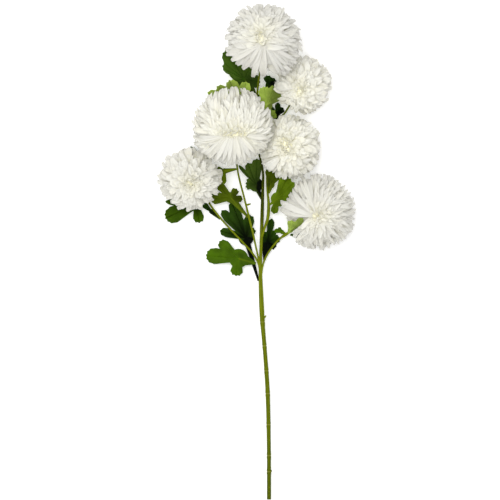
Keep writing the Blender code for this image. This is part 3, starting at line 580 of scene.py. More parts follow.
def grid_quads(rows, columns, first=0, closed=False):
    """The faces of a grid of points, row after row. A closed grid joins its last column to its first."""
    i, j = np.meshgrid(np.arange(rows - 1), np.arange(columns if closed else columns - 1), indexing="ij")
    after = (j + 1) % columns
    corners = (i * columns + j, i * columns + after, (i + 1) * columns + after, (i + 1) * columns + j)
    return first + np.stack(corners, axis=-1).reshape(-1, 4)


def capped_quads(rows, columns):
    """The faces of a closed grid and of the fans that shut its ends, round two more points after its own."""
    near, count = np.arange(columns), rows * columns
    far = near + count - columns
    start = np.stack((np.full(columns, count), np.roll(near, -1), near, near), axis=1)
    end = np.stack((np.full(columns, count + 1), far, np.roll(far, -1), np.roll(far, -1)), axis=1)
    return np.vstack((grid_quads(rows, columns, closed=True), start, end))


def as_faces(quads):
    """Faces from rows of four corners. A corner that a row has twice counts once."""
    return [tuple(dict.fromkeys(quad)) for quad in quads.tolist()]


def moved_on(faces, first):
    """Faces whose points come after so many others."""
    return [tuple(first + corner for corner in face) for face in faces]


def sheet_normals(points, quads):
    normals = np.zeros_like(points)
    facing = np.cross(points[quads[:, 2]] - points[quads[:, 0]], points[quads[:, 3]] - points[quads[:, 1]])
    for corner in range(4):
        np.add.at(normals, quads[:, corner], facing)
    return normals / np.maximum(np.linalg.norm(normals, axis=1, keepdims=True), LEAST_NORMAL)


def closed_shell(points, quads, rim, thickness):
    """Both faces of a thin sheet, which share the points of its rim.

    Returns the points, the faces and, for each point, the number of the sheet's point that it comes from.
    """
    inner = np.flatnonzero(~rim)
    lift = np.where(rim, 0.0, thickness / 2)[:, None] * sheet_normals(points, quads)
    below = np.arange(len(points))
    below[inner] = len(points) + np.arange(len(inner))
    faces = as_faces(quads) + as_faces(below[quads][:, ::-1])
    source = np.concatenate((np.arange(len(points)), inner))
    return np.vstack((points + lift, (points - lift)[inner])), faces, source


def closed_shells(grids, thickness):
    """A closed shell from each grid. Returns what closed_shell does, and which points are on a rim."""
    rows, columns = grids[0].shape[:2]
    i, j = np.divmod(np.arange(rows * columns), columns)
    rim = np.tile((i == 0) | (i == rows - 1) | (j == 0) | (j == columns - 1), len(grids))
    quads = np.vstack([grid_quads(rows, columns, first=rows * columns * k) for k in range(len(grids))])
    places, faces, source = closed_shell(np.concatenate(grids).reshape(-1, 3), quads, rim, thickness)
    return places, faces, source, rim[source]


def mesh_object(name, points, faces, attributes):
    """A smooth mesh object with a value or a vector for each point under each attribute's name."""
    mesh = bpy.data.meshes.new(name)
    mesh.from_pydata(points.tolist(), [], faces)
    for label, values in attributes.items():
        values = np.asarray(values, np.float32)
        kind, field = ("FLOAT", "value") if values.ndim == 1 else ("FLOAT_VECTOR", "vector")
        mesh.attributes.new(label, kind, "POINT").data.foreach_set(field, values.ravel())
    mesh.shade_smooth()
    mesh.validate()
    obj = bpy.data.objects.new(name, mesh)
    bpy.context.scene.collection.objects.link(obj)
    return obj


def read_all(items, field, kind, width=1):
    """One field of every item of a mesh, as an array."""
    values = np.empty(len(items) * width, kind)
    items.foreach_get(field, values)
    return values.reshape(-1, width) if width > 1 else values


def sharpen(mesh, rim):
    """Marks the edges between two rim points as sharp, so that each face of a sheet keeps its own shading."""
    sharp = rim[read_all(mesh.edges, "vertices", np.int32, 2)].all(axis=1)
    mesh.attributes.new("sharp_edge", "BOOLEAN", "EDGE").data.foreach_set("value", sharp)


def finished(obj, node, slot, material):
    """Dresses a piece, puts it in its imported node's place and lets it ride on the part."""
    obj.data.materials.clear()
    obj.data.materials.append(material)
    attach(obj, "root")
    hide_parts(node)


# The stem and its stalks


def smooth_curve(points, step):
    """Points a step apart or less on a smooth curve through the given ones."""
    path = np.array(points, float)
    ends = np.vstack((2 * path[0] - path[1], path, 2 * path[-1] - path[-2]))
    fine = []
    for a, b, c, d in zip(ends, ends[1:], ends[2:], ends[3:]):
        steps = max(1, math.ceil(np.linalg.norm(c - b) / step))
        for t in np.arange(steps) / steps:
            curve = (2 * a - 5 * b + 4 * c - d) * t**2 + (3 * b - a - 3 * c + d) * t**3
            fine.append(0.5 * (2 * b + (c - a) * t + curve))
    fine.append(path[-1])
    return np.array(fine)


def seat_depth(bloom):
    return bloom.radius * CORE_SHARE * math.cos(math.radians(CALYX_RIM_ANGLE))


def calyx_foot(bloom):
    return seat_depth(bloom) + CALYX_HEIGHT


def rim_radius(bloom):
    """The radius of the circle on which the bloom's core meets its calyx."""
    return bloom.radius * CORE_SHARE * math.sin(math.radians(CALYX_RIM_ANGLE))


def full_route(name, step):
    """A stalk's points as far as the socket of its bloom's calyx."""
    bloom = next(b for b in BLOOMS.values() if b.route == name)
    way, centre, foot = unit(bloom.calyx_way), np.array(bloom.centre), calyx_foot(bloom)
    curve = smooth_curve([*ROUTES[name], centre + way * (foot + CALYX_ENTRY), centre + way * foot], step)
    return np.vstack((curve, centre + way * (foot - SOCKET_DEPTH + SEAT_GAP)))


def swelling(away, reach, height):
    return height * np.exp(-((away / reach) ** 2))


def joint_relief(y):
    """A joint is a low ring with a fine groove in its middle."""
    near = np.abs(y[:, None] - np.array(JOINTS_Y)).min(axis=1)
    return swelling(near, *JOINT_RING) - swelling(near, *JOINT_GROOVE)


def main_radii(points):
    y = points[:, 1]
    foot = ROUTES["stem"][0][1]
    share = (y - foot) / (FORK_Y - foot)
    below = STEM_FOOT_RADIUS + (STEM_FORK_RADIUS - STEM_FOOT_RADIUS) * share
    for middle, reach, height in LOWER_SWELLINGS:
        below += swelling(share - middle, reach, height)
    tapered = np.clip((y - FORK_Y) / STEM_TAPER_LENGTH, 0, 1)
    above = STEM_FORK_RADIUS + (STEM_TIP_RADIUS - STEM_FORK_RADIUS) * tapered
    middle, reach, height = UPPER_SWELLING
    above += swelling(y - middle, reach, height)
    return np.where(y < FORK_Y, below, above) + joint_relief(y)


def stalk_radii(points):
    """A stalk flares where it leaves the stem, and two of them swell where leaves grow."""
    run = np.linalg.norm(points - points[0], axis=1)
    radii = STALK_RADIUS * (1 + STALK_FLARE * np.exp(-run / STALK_FLARE_REACH))
    for middle, reach, height in STALK_SWELLINGS:
        radii += swelling(np.linalg.norm(points - np.array(middle), axis=1), reach, height)
    return radii


def tube(points, radii, depth):
    """A ribbed tube along a curve, shut at both ends. Returns points, quads and how high each is on a rib."""
    tangents = unit(np.gradient(points, axis=0))
    over = np.array((0.0, 0.0, 1.0))
    first = unit(over - tangents * (tangents @ over)[:, None])
    second = np.cross(tangents, first)
    around = np.linspace(0, 2 * math.pi, STEM_SIDES, endpoint=False)
    lengths = np.concatenate(([0.0], np.cumsum(np.linalg.norm(np.diff(points, axis=0), axis=1))))
    ribs = np.cos(RIBS * (around[None, :] + RIB_TURN * lengths[:, None]))
    ring = first[:, None] * np.cos(around)[None, :, None] + second[:, None] * np.sin(around)[None, :, None]
    rings = points[:, None] + ring * (radii[:, None] + depth * ribs - depth)[..., None]
    places = np.vstack((rings.reshape(-1, 3), points[0], points[-1]))
    return places, capped_quads(len(points), STEM_SIDES), np.append(ribs, (0.0, 0.0))


def stub(place, way, radius, length):
    """The points and radii of a bud scar: a short stub, half sunk in the stem, with a rounded end."""
    run = np.linspace(0.0, 1.0, STUB_RINGS)
    points = np.array(place) + unit(way) * ((run - 0.5) * length)[:, None]
    return points, radius * np.sqrt(1 - STUB_ROUNDING * run**3)


def make_stem(sizes):
    tubes = []
    for name in ROUTES:
        points = full_route(name, STEM_STEP if name == "stem" else STALK_STEP)
        tubes.append((points, main_radii(points) if name == "stem" else stalk_radii(points)))
    tubes += [stub(*scar) for scar in BUD_SCARS]
    places, faces, ribs, youth = [], [], [], []
    first = 0
    for index, (points, radii) in enumerate(tubes):
        depth = sizes.rib_depth if radii.max() > THICK_TUBE else sizes.rib_depth / 2
        made, quads, rib = tube(points, radii, depth)
        made[:, 2] = np.maximum(made[:, 2], STEM_LIFT)
        places.append(made)
        faces += as_faces(quads + first)
        ribs.append(rib)
        youth.append(np.full(len(made), 0.0 if index == 0 else 1.0))
        first += len(made)
    attributes = {"rib": np.concatenate(ribs), "youth": np.concatenate(youth)}
    return mesh_object("stem_piece", np.vstack(places), faces, attributes)


# Leaves


def lobe_half_width(share, widest):
    """Half a lobe's width, at a share of the way from the hub to its blunt tip."""
    swell = LOBE_ROOT + (1 - LOBE_ROOT) * np.minimum(1.0, share / LOBE_WIDEST) ** LOBE_SWELL
    blunt = 1 - np.maximum(0.0, (share - LOBE_BLUNT) / LOBE_TIP) ** 3
    return widest * swell * np.sqrt(np.maximum(0.0, blunt))


def neck_half_width(share, widest):
    """Half the width of the leaf's own stalk, at a share of the way from the hub to its base."""
    return STALK_HALF_WIDTH + (widest - STALK_HALF_WIDTH) * (1 - share)


def bearing(end, hub):
    return math.atan2(end[1] - hub[1], end[0] - hub[0])


def slope(end, hub):
    return (end[2] - hub[2]) / math.dist(end[:2], hub[:2])


def stalk_edges(leaf):
    """The directions from the hub to the two corners of the foot of the leaf's stalk."""
    half_angle = math.atan2(STALK_HALF_WIDTH, math.dist(leaf.base[:2], leaf.hub[:2]))
    foot = bearing(leaf.base, leaf.hub)
    return foot + half_angle, foot - half_angle + 2 * math.pi


def reaches(angles, leaf):
    """How far the leaf goes from its hub in each direction."""
    ways = np.stack((np.cos(angles), np.sin(angles)), axis=1)
    hub = np.array(leaf.hub[:2])
    veins = [(np.array(leaf.base[:2]) - hub, leaf.neck, neck_half_width, 0.0)]
    for lobe in leaf.lobes:
        depth = TOOTH_DEPTH * min(1.0, lobe.half_width / TOOTHED_HALF_WIDTH)
        veins.append((np.array(lobe.tip[:2]) - hub, lobe.half_width, lobe_half_width, depth))
    shares = np.linspace(1.0, 0.0, REACH_STEPS)
    furthest = np.full(len(angles), leaf.palm)
    for vein, widest, half_width, depth in veins:
        length = np.linalg.norm(vein)
        along = ways @ vein / length
        aside = np.abs(ways[:, 0] * vein[1] - ways[:, 1] * vein[0]) / length
        far = length / np.maximum(along, LEAST_ALONG)[:, None] * shares[None, :]
        within = far * aside[:, None] <= half_width(shares, widest)[None, :]
        reached = far[np.arange(len(angles)), within.argmax(axis=1)]
        teeth = np.abs(np.sin(math.pi * np.arccos(np.clip(along, -1.0, 1.0)) * length / TOOTH_WIDTH))
        reached -= depth * teeth * eased((reached / length - TEETH_START) / (TEETH_END - TEETH_START))
        furthest = np.where(along > LEAST_ALONG, np.maximum(furthest, reached), furthest)
    return furthest


def lobe_turn(lobe, leaf):
    """The angle from the first edge of the stalk to a lobe's vein."""
    return (bearing(lobe.tip, leaf.hub) - stalk_edges(leaf)[0]) % (2 * math.pi)


def edge_heights(angles, far, leaf):
    """The height of the leaf's edge in each direction. The blade arches from one vein's slope to the next."""
    start, end = stalk_edges(leaf)
    ends = [(0.0, slope(leaf.base, leaf.hub)), (end - start, slope(leaf.base, leaf.hub))]
    ends += [(lobe_turn(lobe, leaf), slope(lobe.tip, leaf.hub)) for lobe in leaf.lobes]
    turns, slopes = np.array(sorted(ends)).T
    turned = np.clip(angles - start, 0.0, end - start)
    after = np.clip(np.searchsorted(turns, turned, side="right"), 1, len(turns) - 1)
    gap = turns[after] - turns[after - 1]
    share = (turned - turns[after - 1]) / gap
    rise = slopes[after - 1] + (slopes[after] - slopes[after - 1]) * eased(share)
    fold = LEAF_FOLD * np.minimum(1.0, gap / WIDE_GAP) * np.minimum(1.0, far / WIDE_REACH)
    return leaf.hub[2] + far * rise + fold * np.sin(math.pi * share)


def leaf_angles(leaf):
    """The directions of the blade's rays: evenly round the hub, and one along each vein."""
    start, end = stalk_edges(leaf)
    turns = [(end - start) * i / LEAF_RAYS for i in range(LEAF_RAYS + 1)]
    turns += [lobe_turn(lobe, leaf) for lobe in leaf.lobes]
    return start + np.unique(np.round(turns, 6))


def vein_ways(leaf):
    """The flat directions of the leaf's stalk and of each vein."""
    ends = np.array([end[:2] for end in (leaf.base, *(lobe.tip for lobe in leaf.lobes))])
    return unit(ends - np.array(leaf.hub[:2]))


def nearest_vein(points, leaf):
    return (unit(points[:, :2] - np.array(leaf.hub[:2]) + TINY) @ vein_ways(leaf).T).argmax(axis=1)


def vein_places(points, nearest, leaf):
    """For each point, how far it is along its nearest vein and how far to the side."""
    way = vein_ways(leaf)[nearest]
    flat = points[:, :2] - np.array(leaf.hub[:2])
    return (flat * way).sum(axis=1), flat[:, 0] * way[:, 1] - flat[:, 1] * way[:, 0]


def seat_leaf(points, leaf, stem_tree, thickness):
    """Moves the foot of a leaf's stalk onto the stem. The rest follows less and less."""
    base = np.array(leaf.base)
    stalk_length = math.dist(leaf.base, leaf.hub)
    on_stem = np.array(stem_tree.find_nearest(Vector(leaf.base))[0])
    away = unit(base - on_stem)
    pull = np.maximum(0.0, 1 - np.linalg.norm(points - base, axis=1) / stalk_length)[:, None]
    feet = np.flatnonzero(pull[:, 0] > SEATED_PULL)
    move = on_stem - base
    while min(stem_tree.find_nearest(Vector(p))[3] for p in points[feet] + pull[feet] * move) < thickness / 2:
        move = move + away * SEAT_STEP
    return points + pull * move


def leaf_relief(points, leaf, share, angles, sizes, draw):
    """How far the blade stands above its plain shape: pillows between the veins and a waved edge."""
    nearest = nearest_vein(points, leaf)
    along, aside = vein_places(points, nearest, leaf)
    on_blade = np.where(nearest == 0, 0.0, 1.0) * eased(along / VEIN_START)
    pillow = 1 - np.exp(-np.abs(aside) / PILLOW_REACH)
    ridges = np.cos((along - VEIN_SLANT * np.abs(aside)) * 2 * math.pi / sizes.vein_spacing)
    wave = sum(height * np.sin(angles * times + draw.uniform(0, WAVE_START)) for times, height in EDGE_WAVES)
    lift = sizes.vein_relief * (pillow * on_blade + RIDGE_SHARE * ridges * on_blade * pillow)
    return lift + sizes.leaf_wave * wave * share**3 * on_blade


def leaf_shade(shade, edge, angles):
    """How deep the green is at each point, from how far out it is and from its direction."""
    turned = np.cos(angles - math.radians(shade.bearing))
    faced = eased(1 - SHADE_SPREAD + SHADE_SPREAD * turned)
    by_hub = shade.hub * (1 - HUB_SHADE_LOSS * eased(edge))
    return np.clip(by_hub + shade.side * faced * eased(edge / SIDE_SHADE_START), 0.0, 1.0)


def make_leaf(name, leaf, stem_tree, sizes, draw):
    angles = leaf_angles(leaf)
    count = len(angles)
    far = reaches(angles, leaf)
    hub = np.array(leaf.hub)
    heights = edge_heights(angles, far, leaf) - hub[2]
    spread = np.stack((np.cos(angles) * far, np.sin(angles) * far, heights), axis=-1)
    share = np.array(LEAF_RINGS)
    points = (hub + spread[None] * share[:, None, None]).reshape(-1, 3)
    edge, every_angle = np.repeat(share, count), np.tile(angles, len(share))
    points[:, 2] += leaf_relief(points, leaf, edge, every_angle, sizes, draw)
    points = seat_leaf(np.vstack((points, hub)), leaf, stem_tree, sizes.leaf_thickness)
    points[:, 2] = np.maximum(points[:, 2], sizes.leaf_thickness / 2 + LEAF_LIFT)
    near, centre = np.arange(count), np.full(count, len(points) - 1)
    fan = np.stack((centre, near, np.roll(near, -1), np.roll(near, -1)), axis=1)
    quads = np.vstack((grid_quads(len(share), count, closed=True)[:, ::-1], fan))
    rim = np.zeros(len(points), bool)
    rim[-count - 1 : -1] = True
    places, faces, source = closed_shell(points, quads, rim, sizes.leaf_thickness)
    edge, every_angle = np.append(edge, 0.0), np.append(every_angle, 0.0)
    under = np.arange(len(places)) >= len(points)
    shade = SHADES.get(name, NO_SHADE)
    attributes = {
        "edge": edge[source],
        "under": under.astype(float),
        "shade": leaf_shade(shade, edge, every_angle)[source],
        "light": np.full(len(places), shade.light),
    }
    obj = mesh_object("leaf_%s_piece" % name, places, faces, attributes)
    sharpen(obj.data, rim[source] & ~under)
    write_veins(obj.data, leaf)
    return obj


def write_veins(mesh, leaf):
    """Gives each corner of each face its place by the face's nearest vein, so that veins stay crisp."""
    points = read_all(mesh.vertices, "co", float, 3)[read_all(mesh.loops, "vertex_index", np.int32)]
    middles = read_all(mesh.polygons, "center", float, 3)
    nearest = np.repeat(nearest_vein(middles, leaf), read_all(mesh.polygons, "loop_total", np.int32))
    along, aside = vein_places(points, nearest, leaf)
    values = np.stack((along, aside, nearest == 0), axis=1).astype(np.float32)
    mesh.attributes.new("vein", "FLOAT_VECTOR", "CORNER").data.foreach_set("vector", values.ravel())


# Blooms


def greens_tree():
    """The shape of every leaf, the stem and the calyxes together, which petals keep clear of."""
    points, faces = [], []
    kinds = {"stem": 1, "leaf": len(LEAVES), "calyx": len(BLOOMS)}
    for kind, wanted in kinds.items():
        made = [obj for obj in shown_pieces() if obj.name.startswith(kind) and obj.name.endswith("_piece")]
        if len(made) != wanted:
            raise RuntimeError("Build the stem, the leaves and the calyxes before the blooms")
        for piece in made:
            faces += moved_on([face.vertices for face in piece.data.polygons], len(points))
            points += [vertex.co.copy() for vertex in piece.data.vertices]
    return BVHTree.FromPolygons(points, faces)


def pressed(points, way, wall):
    """Points moved back softly where they would go beyond a wall."""
    depth = points @ way - (wall - SQUEEZE_DEPTH)
    kept = SQUEEZE_DEPTH * (1 - np.exp(-np.maximum(depth, 0) / SQUEEZE_DEPTH))
    return points - np.where(depth > 0, depth - kept, 0.0)[..., None] * way


def squeezed(points, name):
    """Points moved back where they would press into a neighbouring bloom or the table."""
    here = BLOOMS[name]
    centre = np.array(here.centre)
    for other_name, other in BLOOMS.items():
        between = np.array(other.centre) - centre
        apart = np.linalg.norm(between)
        if other_name == name or apart > here.radius + other.radius:
            continue
        way = between / apart
        wall = centre @ way + (apart + here.radius - other.radius) / 2 - BLOOM_CLEARANCE
        points = pressed(points, way, wall)
    return pressed(points, np.array((0.0, 0.0, -1.0)), -TABLE_PRESS)


def petal_grid(bloom, name, petal, tilt, shortening):
    """A petal's points, row by row from root to tip: it rises, leans over the ball and ends in teeth."""
    first = petal.start
    second = unit(petal.way - first * (petal.way @ first) + TINY)
    lean = math.acos(min(1.0, float(petal.way @ first)))
    rise = bloom.radius * (petal.reach - petal.root) * shortening
    length = math.hypot(rise, bloom.radius * lean * LEAN_LENGTH)
    aside = np.abs(PETAL_COLUMNS)
    teeth = np.abs(np.sin(TOOTH_PHASE * petal.tint + PETAL_COLUMNS * petal.half_width / SCALLOP))
    ends = petal.half_width * (petal.point * aside**POINT_CURVE + petal.notch * teeth)
    run = PETAL_ROWS[:, None] * (1 - np.minimum(MOST_CUT, ends / length))[None, :]
    late = np.maximum(0.0, run - TURN_START) / (1 - TURN_START)
    theta = lean * run - tilt + petal.hook * late**2
    radius = bloom.radius * petal.root + rise * (1 - (1 - run) ** PETAL_ARCH)
    cos, sin = np.cos(theta)[..., None], np.sin(theta)[..., None]
    out = first * cos + second * sin
    onward = second * cos - first * sin
    turning = radius * (lean + petal.hook * late * TURN_SPEED)
    climbing = rise * PETAL_ARCH * (1 - run) ** (PETAL_ARCH - 1)
    tangent = unit(out * climbing[..., None] + onward * turning[..., None])
    across = np.broadcast_to(np.cross(second, first), tangent.shape)
    normal = np.cross(across, tangent)
    twist = (petal.twist * run)[..., None]
    side = across * np.cos(twist) + normal * np.sin(twist)
    normal = normal * np.cos(twist) - across * np.sin(twist)
    width = petal.half_width * (ROOT_WIDTH + (1 - ROOT_WIDTH) * eased(PETAL_ROWS / FULL_WIDTH_FROM))
    width *= 1 - TAPER * eased((PETAL_ROWS - TAPER_START) / (1 - TAPER_START))
    trough = petal.cup * aside**2 + FLUTE_DEPTH * np.cos(FLUTES * math.pi * PETAL_COLUMNS)
    waves = np.sin(RUFFLE_WAVES * PETAL_COLUMNS + RUFFLE_PHASE * petal.tint) * PETAL_ROWS[:, None] ** 3
    lift = width[:, None] * (trough[None, :] + petal.ruffle * waves)
    grid = np.array(bloom.centre) + out * radius[..., None] + normal * lift[..., None]
    return squeezed(grid + side * (width[:, None] * PETAL_COLUMNS)[..., None], name)


def under_greens(grid, bloom, greens):
    """The grid drawn in towards the bloom's centre, so that it passes beneath any leaf on the bloom."""
    centre = Vector(bloom.centre)
    share = 1.0
    for point in grid[3:, ::3].reshape(-1, 3):
        way = Vector(point) - centre
        hit = greens.ray_cast(centre, way.normalized(), way.length + PETAL_CLEARANCE)
        if hit[0] is not None:
            share = min(share, (hit[3] - DUCKING * PETAL_CLEARANCE) / way.length)
    return np.array(centre) + (grid - np.array(centre)) * share, share


def is_clear(grid, greens):
    """Whether a petal keeps off every leaf, stalk and calyx."""
    points = grid[2:, ::2].reshape(-1, 3)
    return all(greens.find_nearest(Vector(point), PETAL_CLEARANCE)[0] is None for point in points)


def bent_clear(bloom, name, petal, greens):
    """The petal's grid, lowered, tipped or shortened until it is clear of the greens, or None."""
    for length in LENGTH_TRIES:
        for tilt in TILT_TRIES:
            grid = petal_grid(bloom, name, petal, math.radians(tilt), length)
            grid, share = under_greens(grid, bloom, greens)
            if share > LEAST_SHARE and is_clear(grid, greens):
                return grid
    return None


def face_way(point):
    """The direction from a bloom's middle to a point on its face, given as shares of its radius."""
    return np.array((*point, math.sqrt(1 - point[0] ** 2 - point[1] ** 2)))


def nearest_seam(way, seams):
    """The direction to the seam that is near a direction, and the angle between the two.

    Far from the seams the direction is towards the middle of them all, so that petals never part there.
    """
    points = np.array([
        unit(face_way(start) * (1 - share) + face_way(end) * share)
        for start, end in seams
        for share in SEAM_SHARES
    ])
    near = points @ way
    weights = np.exp(SEAM_GRIP * (near - near.max()))
    return unit(weights @ points), math.acos(min(1.0, near.max()))


def turned_to(way, target, angle):
    """A direction turned towards another one by an angle."""
    aside = unit(target - way * (target @ way) + TINY)
    return way * math.cos(angle) + aside * math.sin(angle)


def stirred(way, waves):
    """A direction moved a little by broad waves, so that petals crowd here and part there."""
    return unit(way + sum(push * math.sin(float(way @ run) + start) for run, push, start in waves))


def drawn_vector(draw, spread):
    return np.array([draw.gauss(0, spread) for _ in range(3)])


def drawn_waves(draw):
    """A few broad waves over the ball, each with its run, its push and its start."""
    waves = []
    for _ in range(STIRS):
        length = draw.uniform(*STIR_RUNS)
        run = unit(drawn_vector(draw, 1)) * length
        push = unit(drawn_vector(draw, 1)) * STIR_DEPTH
        waves.append((run, push, draw.uniform(0, 2 * math.pi)))
    return waves


def room_under(way, fans):
    """The share of its length that a petal keeps beneath the long ones, or 0 right under one."""
    least = 1.0
    for petal in fans:
        turn = unit(np.cross(petal.start, petal.way))
        along = math.atan2(way @ np.cross(turn, petal.start), way @ petal.start)
        if COVER_START < along < COVER_END * math.acos(petal.start @ petal.way):
            aside = abs(float(way @ turn)) / COVER_WIDTH
            if aside < 1:
                return 0.0
            least = min(least, COVERED_SHARE + (1 - COVERED_SHARE) * through(aside, COVER_ZONE))
    return least


def lowered(way, low):
    """The share of their length that petals keep where the bloom has a low side, near its rim."""
    if low is None:
        return 1.0
    bearing_degrees, spread, share = low
    turn = math.radians(bearing_degrees) - math.atan2(way[1], way[0])
    beside = abs(math.atan2(math.sin(turn), math.cos(turn)))
    inside = eased((math.radians(spread) - beside) / LOW_SOFTNESS)
    return 1 - (1 - share) * float(inside) * through(math.acos(way[2]), LOW_ZONE)


def seam_floor(away, root):
    """The share of the radius at which petals are rooted. It rises at a seam, which is shallow."""
    return root + (SEAM_FLOOR - root) * math.exp(-((away / SEAM_WIDTH) ** 2))


def ball_petals(bloom, habit, fans, draw):
    """Every petal of the ball. Its tips are spread by the golden angle, from the bloom's top to its calyx."""
    axis = -unit(bloom.calyx_way)
    side = unit(np.cross(axis, (0.0, 1.0, 0.0)))
    up = np.cross(side, axis)
    waves, lumps = drawn_waves(draw), drawn_waves(draw)
    count = round(2 * math.pi * bloom.radius**2 / (habit.half_width * CROWDING * habit.spacing))
    jitter = TIP_JITTER * habit.spacing / bloom.radius
    for i in range(count):
        height = 1 - (2 * i + 1) / count
        turn = GOLDEN_ANGLE * i
        way = axis * height + (side * math.cos(turn) + up * math.sin(turn)) * math.sqrt(1 - height**2)
        way = stirred(way + drawn_vector(draw, jitter), waves)
        seam, away = nearest_seam(way, habit.seams)
        room = room_under(way, fans)
        if way @ axis < -math.cos(math.radians(CALYX_ANGLE)) or room == 0.0:
            continue
        rim = through(away, RIM_ZONE)
        lean = math.radians(habit.lean * draw.uniform(*LEAN_DRAWS)) * through(away, LEAN_ZONE)
        lean *= 1 - UPRIGHT_SHARE * through(away, UPRIGHT_ZONE)
        lump = sum(math.sin(float(way @ run) + start) for run, _, start in lumps) * LUMP_DEPTH
        reach = habit.heart + (1 - habit.heart) * through(away, HEART_ZONE) + lump
        reach *= draw.uniform(REACH_DRAWS[0] - RAGGED * rim, REACH_DRAWS[1] + RAGGED * rim / 2)
        reach *= lowered(way, habit.low) * room
        seam = unit(seam + drawn_vector(draw, SEAM_JITTER + STRAYING * through(away, STRAY_ZONE)))
        half_width = habit.half_width * (LEAST_WIDTH + WIDTH_SPAN * draw.random() ** 2)
        half_width *= habit.broad + (1 - habit.broad) * through(away, BROAD_ZONE)
        shape = {part: getattr(habit, part) * draw.uniform(*span) for part, span in SHAPE_DRAWS.items()}
        shape["hook"] = math.radians(shape["hook"])
        shape["point"] *= 1 + RIM_POINTS * rim
        shape["notch"] *= 1 + RIM_POINTS * rim
        yield Petal(
            way=way,
            start=turned_to(way, seam, min(lean + LEAST_LEAN, away * MOST_LEAN)),
            half_width=half_width * (1 - RIM_NARROWING * rim),
            root=min(seam_floor(away, habit.root), reach - LEAST_PETAL),
            reach=min(reach, MOST_REACH),
            **shape,
            twist=math.radians(draw.uniform(*TWIST_DRAWS)),
            tint=draw.random(),
            depth=min(1.0, away / DEPTH_SPAN),
            fade=0.0,
        )


def fan_petals(fan, habit, draw):
    """Long petals that lie over the ball, side by side."""
    for i in range(fan.count):
        share = (i + 0.5 + draw.uniform(*FAN_PLACE_DRAWS)) / fan.count
        turn = math.radians(fan.bearing + fan.spread * (2 * share - 1))
        fall = math.radians(fan.fall + draw.uniform(*FAN_FALL_DRAWS))
        start = np.array(fan.start) * (1 - share) + np.array(fan.end) * share
        yield Petal(
            way=np.array((math.cos(turn) * math.sin(fall), math.sin(turn) * math.sin(fall), math.cos(fall))),
            start=unit(face_way(start)),
            half_width=fan.half_width * draw.uniform(*FAN_WIDTH_DRAWS),
            root=FAN_ROOT,
            reach=fan.reach * draw.uniform(*FAN_REACH_DRAWS),
            hook=0.0,
            cup=FAN_CUP,
            point=fan.point * draw.uniform(*FAN_POINT_DRAWS),
            notch=habit.notch,
            ruffle=FAN_RUFFLE * habit.ruffle,
            twist=math.radians(draw.uniform(*FAN_TWIST_DRAWS)),
            tint=draw.random(),
            depth=FAN_DEPTH + FAN_DEPTH_SPAN * draw.random(),
            fade=FAN_FADE,
        )


def bloom_core(bloom, habit):
    """The ball that the petals are rooted in: raised along its seams, and cut flat on its calyx."""
    bm = bmesh.new()
    bmesh.ops.create_icosphere(bm, subdivisions=CORE_FACETS, radius=bloom.radius)
    way = Vector(bloom.calyx_way).normalized()
    for vertex in bm.verts:
        outward = vertex.co.normalized()
        floor = seam_floor(nearest_seam(np.array(outward), habit.seams)[1], INNER_CORE)
        vertex.co *= floor + (CORE_SHARE - floor) * through(outward.dot(way), CORE_NARROWING)
        vertex.co -= way * max(0.0, vertex.co.dot(way) - seat_depth(bloom))
    points = np.array([v.co for v in bm.verts]) + np.array(bloom.centre)
    faces = [tuple(v.index for v in face.verts) for face in bm.faces]
    bm.free()
    return points, faces


def make_bloom(name, bloom, greens, sizes):
    habit = HABITS[name]
    draw = random.Random(sizes.petal_seed + list(BLOOMS).index(name))
    fans = [petal for fan in habit.fans for petal in fan_petals(fan, habit, draw)]
    grids, kept = [], []
    for petal in [*ball_petals(bloom, habit, fans, draw), *fans]:
        grid = bent_clear(bloom, name, petal, greens)
        if grid is not None:
            grids.append(grid)
            kept.append((petal.tint, petal.depth, petal.fade))
    places, faces, source, rim = closed_shells(grids, sizes.petal_thickness)
    places[:, 2] = np.maximum(places[:, 2], 0.0)
    which, place = np.divmod(source, len(PETAL_ROWS) * len(PETAL_COLUMNS))
    row, column = np.divmod(place, len(PETAL_COLUMNS))
    tint, depth, fade = np.array(kept).T
    along = fade[which] + (1 - fade[which]) * PETAL_ROWS[row]
    petal_values = np.stack((along, PETAL_COLUMNS[column], tint[which]), axis=1)
    core_points, core_faces = bloom_core(bloom, habit)
    count = len(core_points)
    attributes = {
        "petal": np.vstack((petal_values, np.tile(CORE_PETAL, (count, 1)))),
        "depth": np.append(depth[which], np.full(count, CORE_DEPTH)),
        "grey": np.full(len(places) + count, habit.grey),
    }
    faces += moved_on(core_faces, len(places))
    obj = mesh_object("bloom_%s_piece" % name, np.vstack((places, core_points)), faces, attributes)
    sharpen(obj.data, np.append(rim, np.zeros(count, bool)))
    return obj


# Calyxes


def cup_profile(bloom):
    """The cup's turned outline, from the middle of its socket round the outside to the middle of its top."""
    top, foot = seat_depth(bloom) + SEAT_GAP, calyx_foot(bloom)
    socket = foot - SOCKET_DEPTH
    bore = STEM_TIP_RADIUS / math.cos(math.pi / SOCKET_SIDES) + SEAT_GAP
    profile = [(0.0, -socket), (bore * SOCKET_FLOOR, -socket), (bore, -socket), (bore, -foot)]
    profile += [(bore + out, up - foot) for out, up in CUP_NECK]
    profile += [(rim_radius(bloom) * share, up - top) for share, up in CUP_BOWL]
    return np.array(profile)


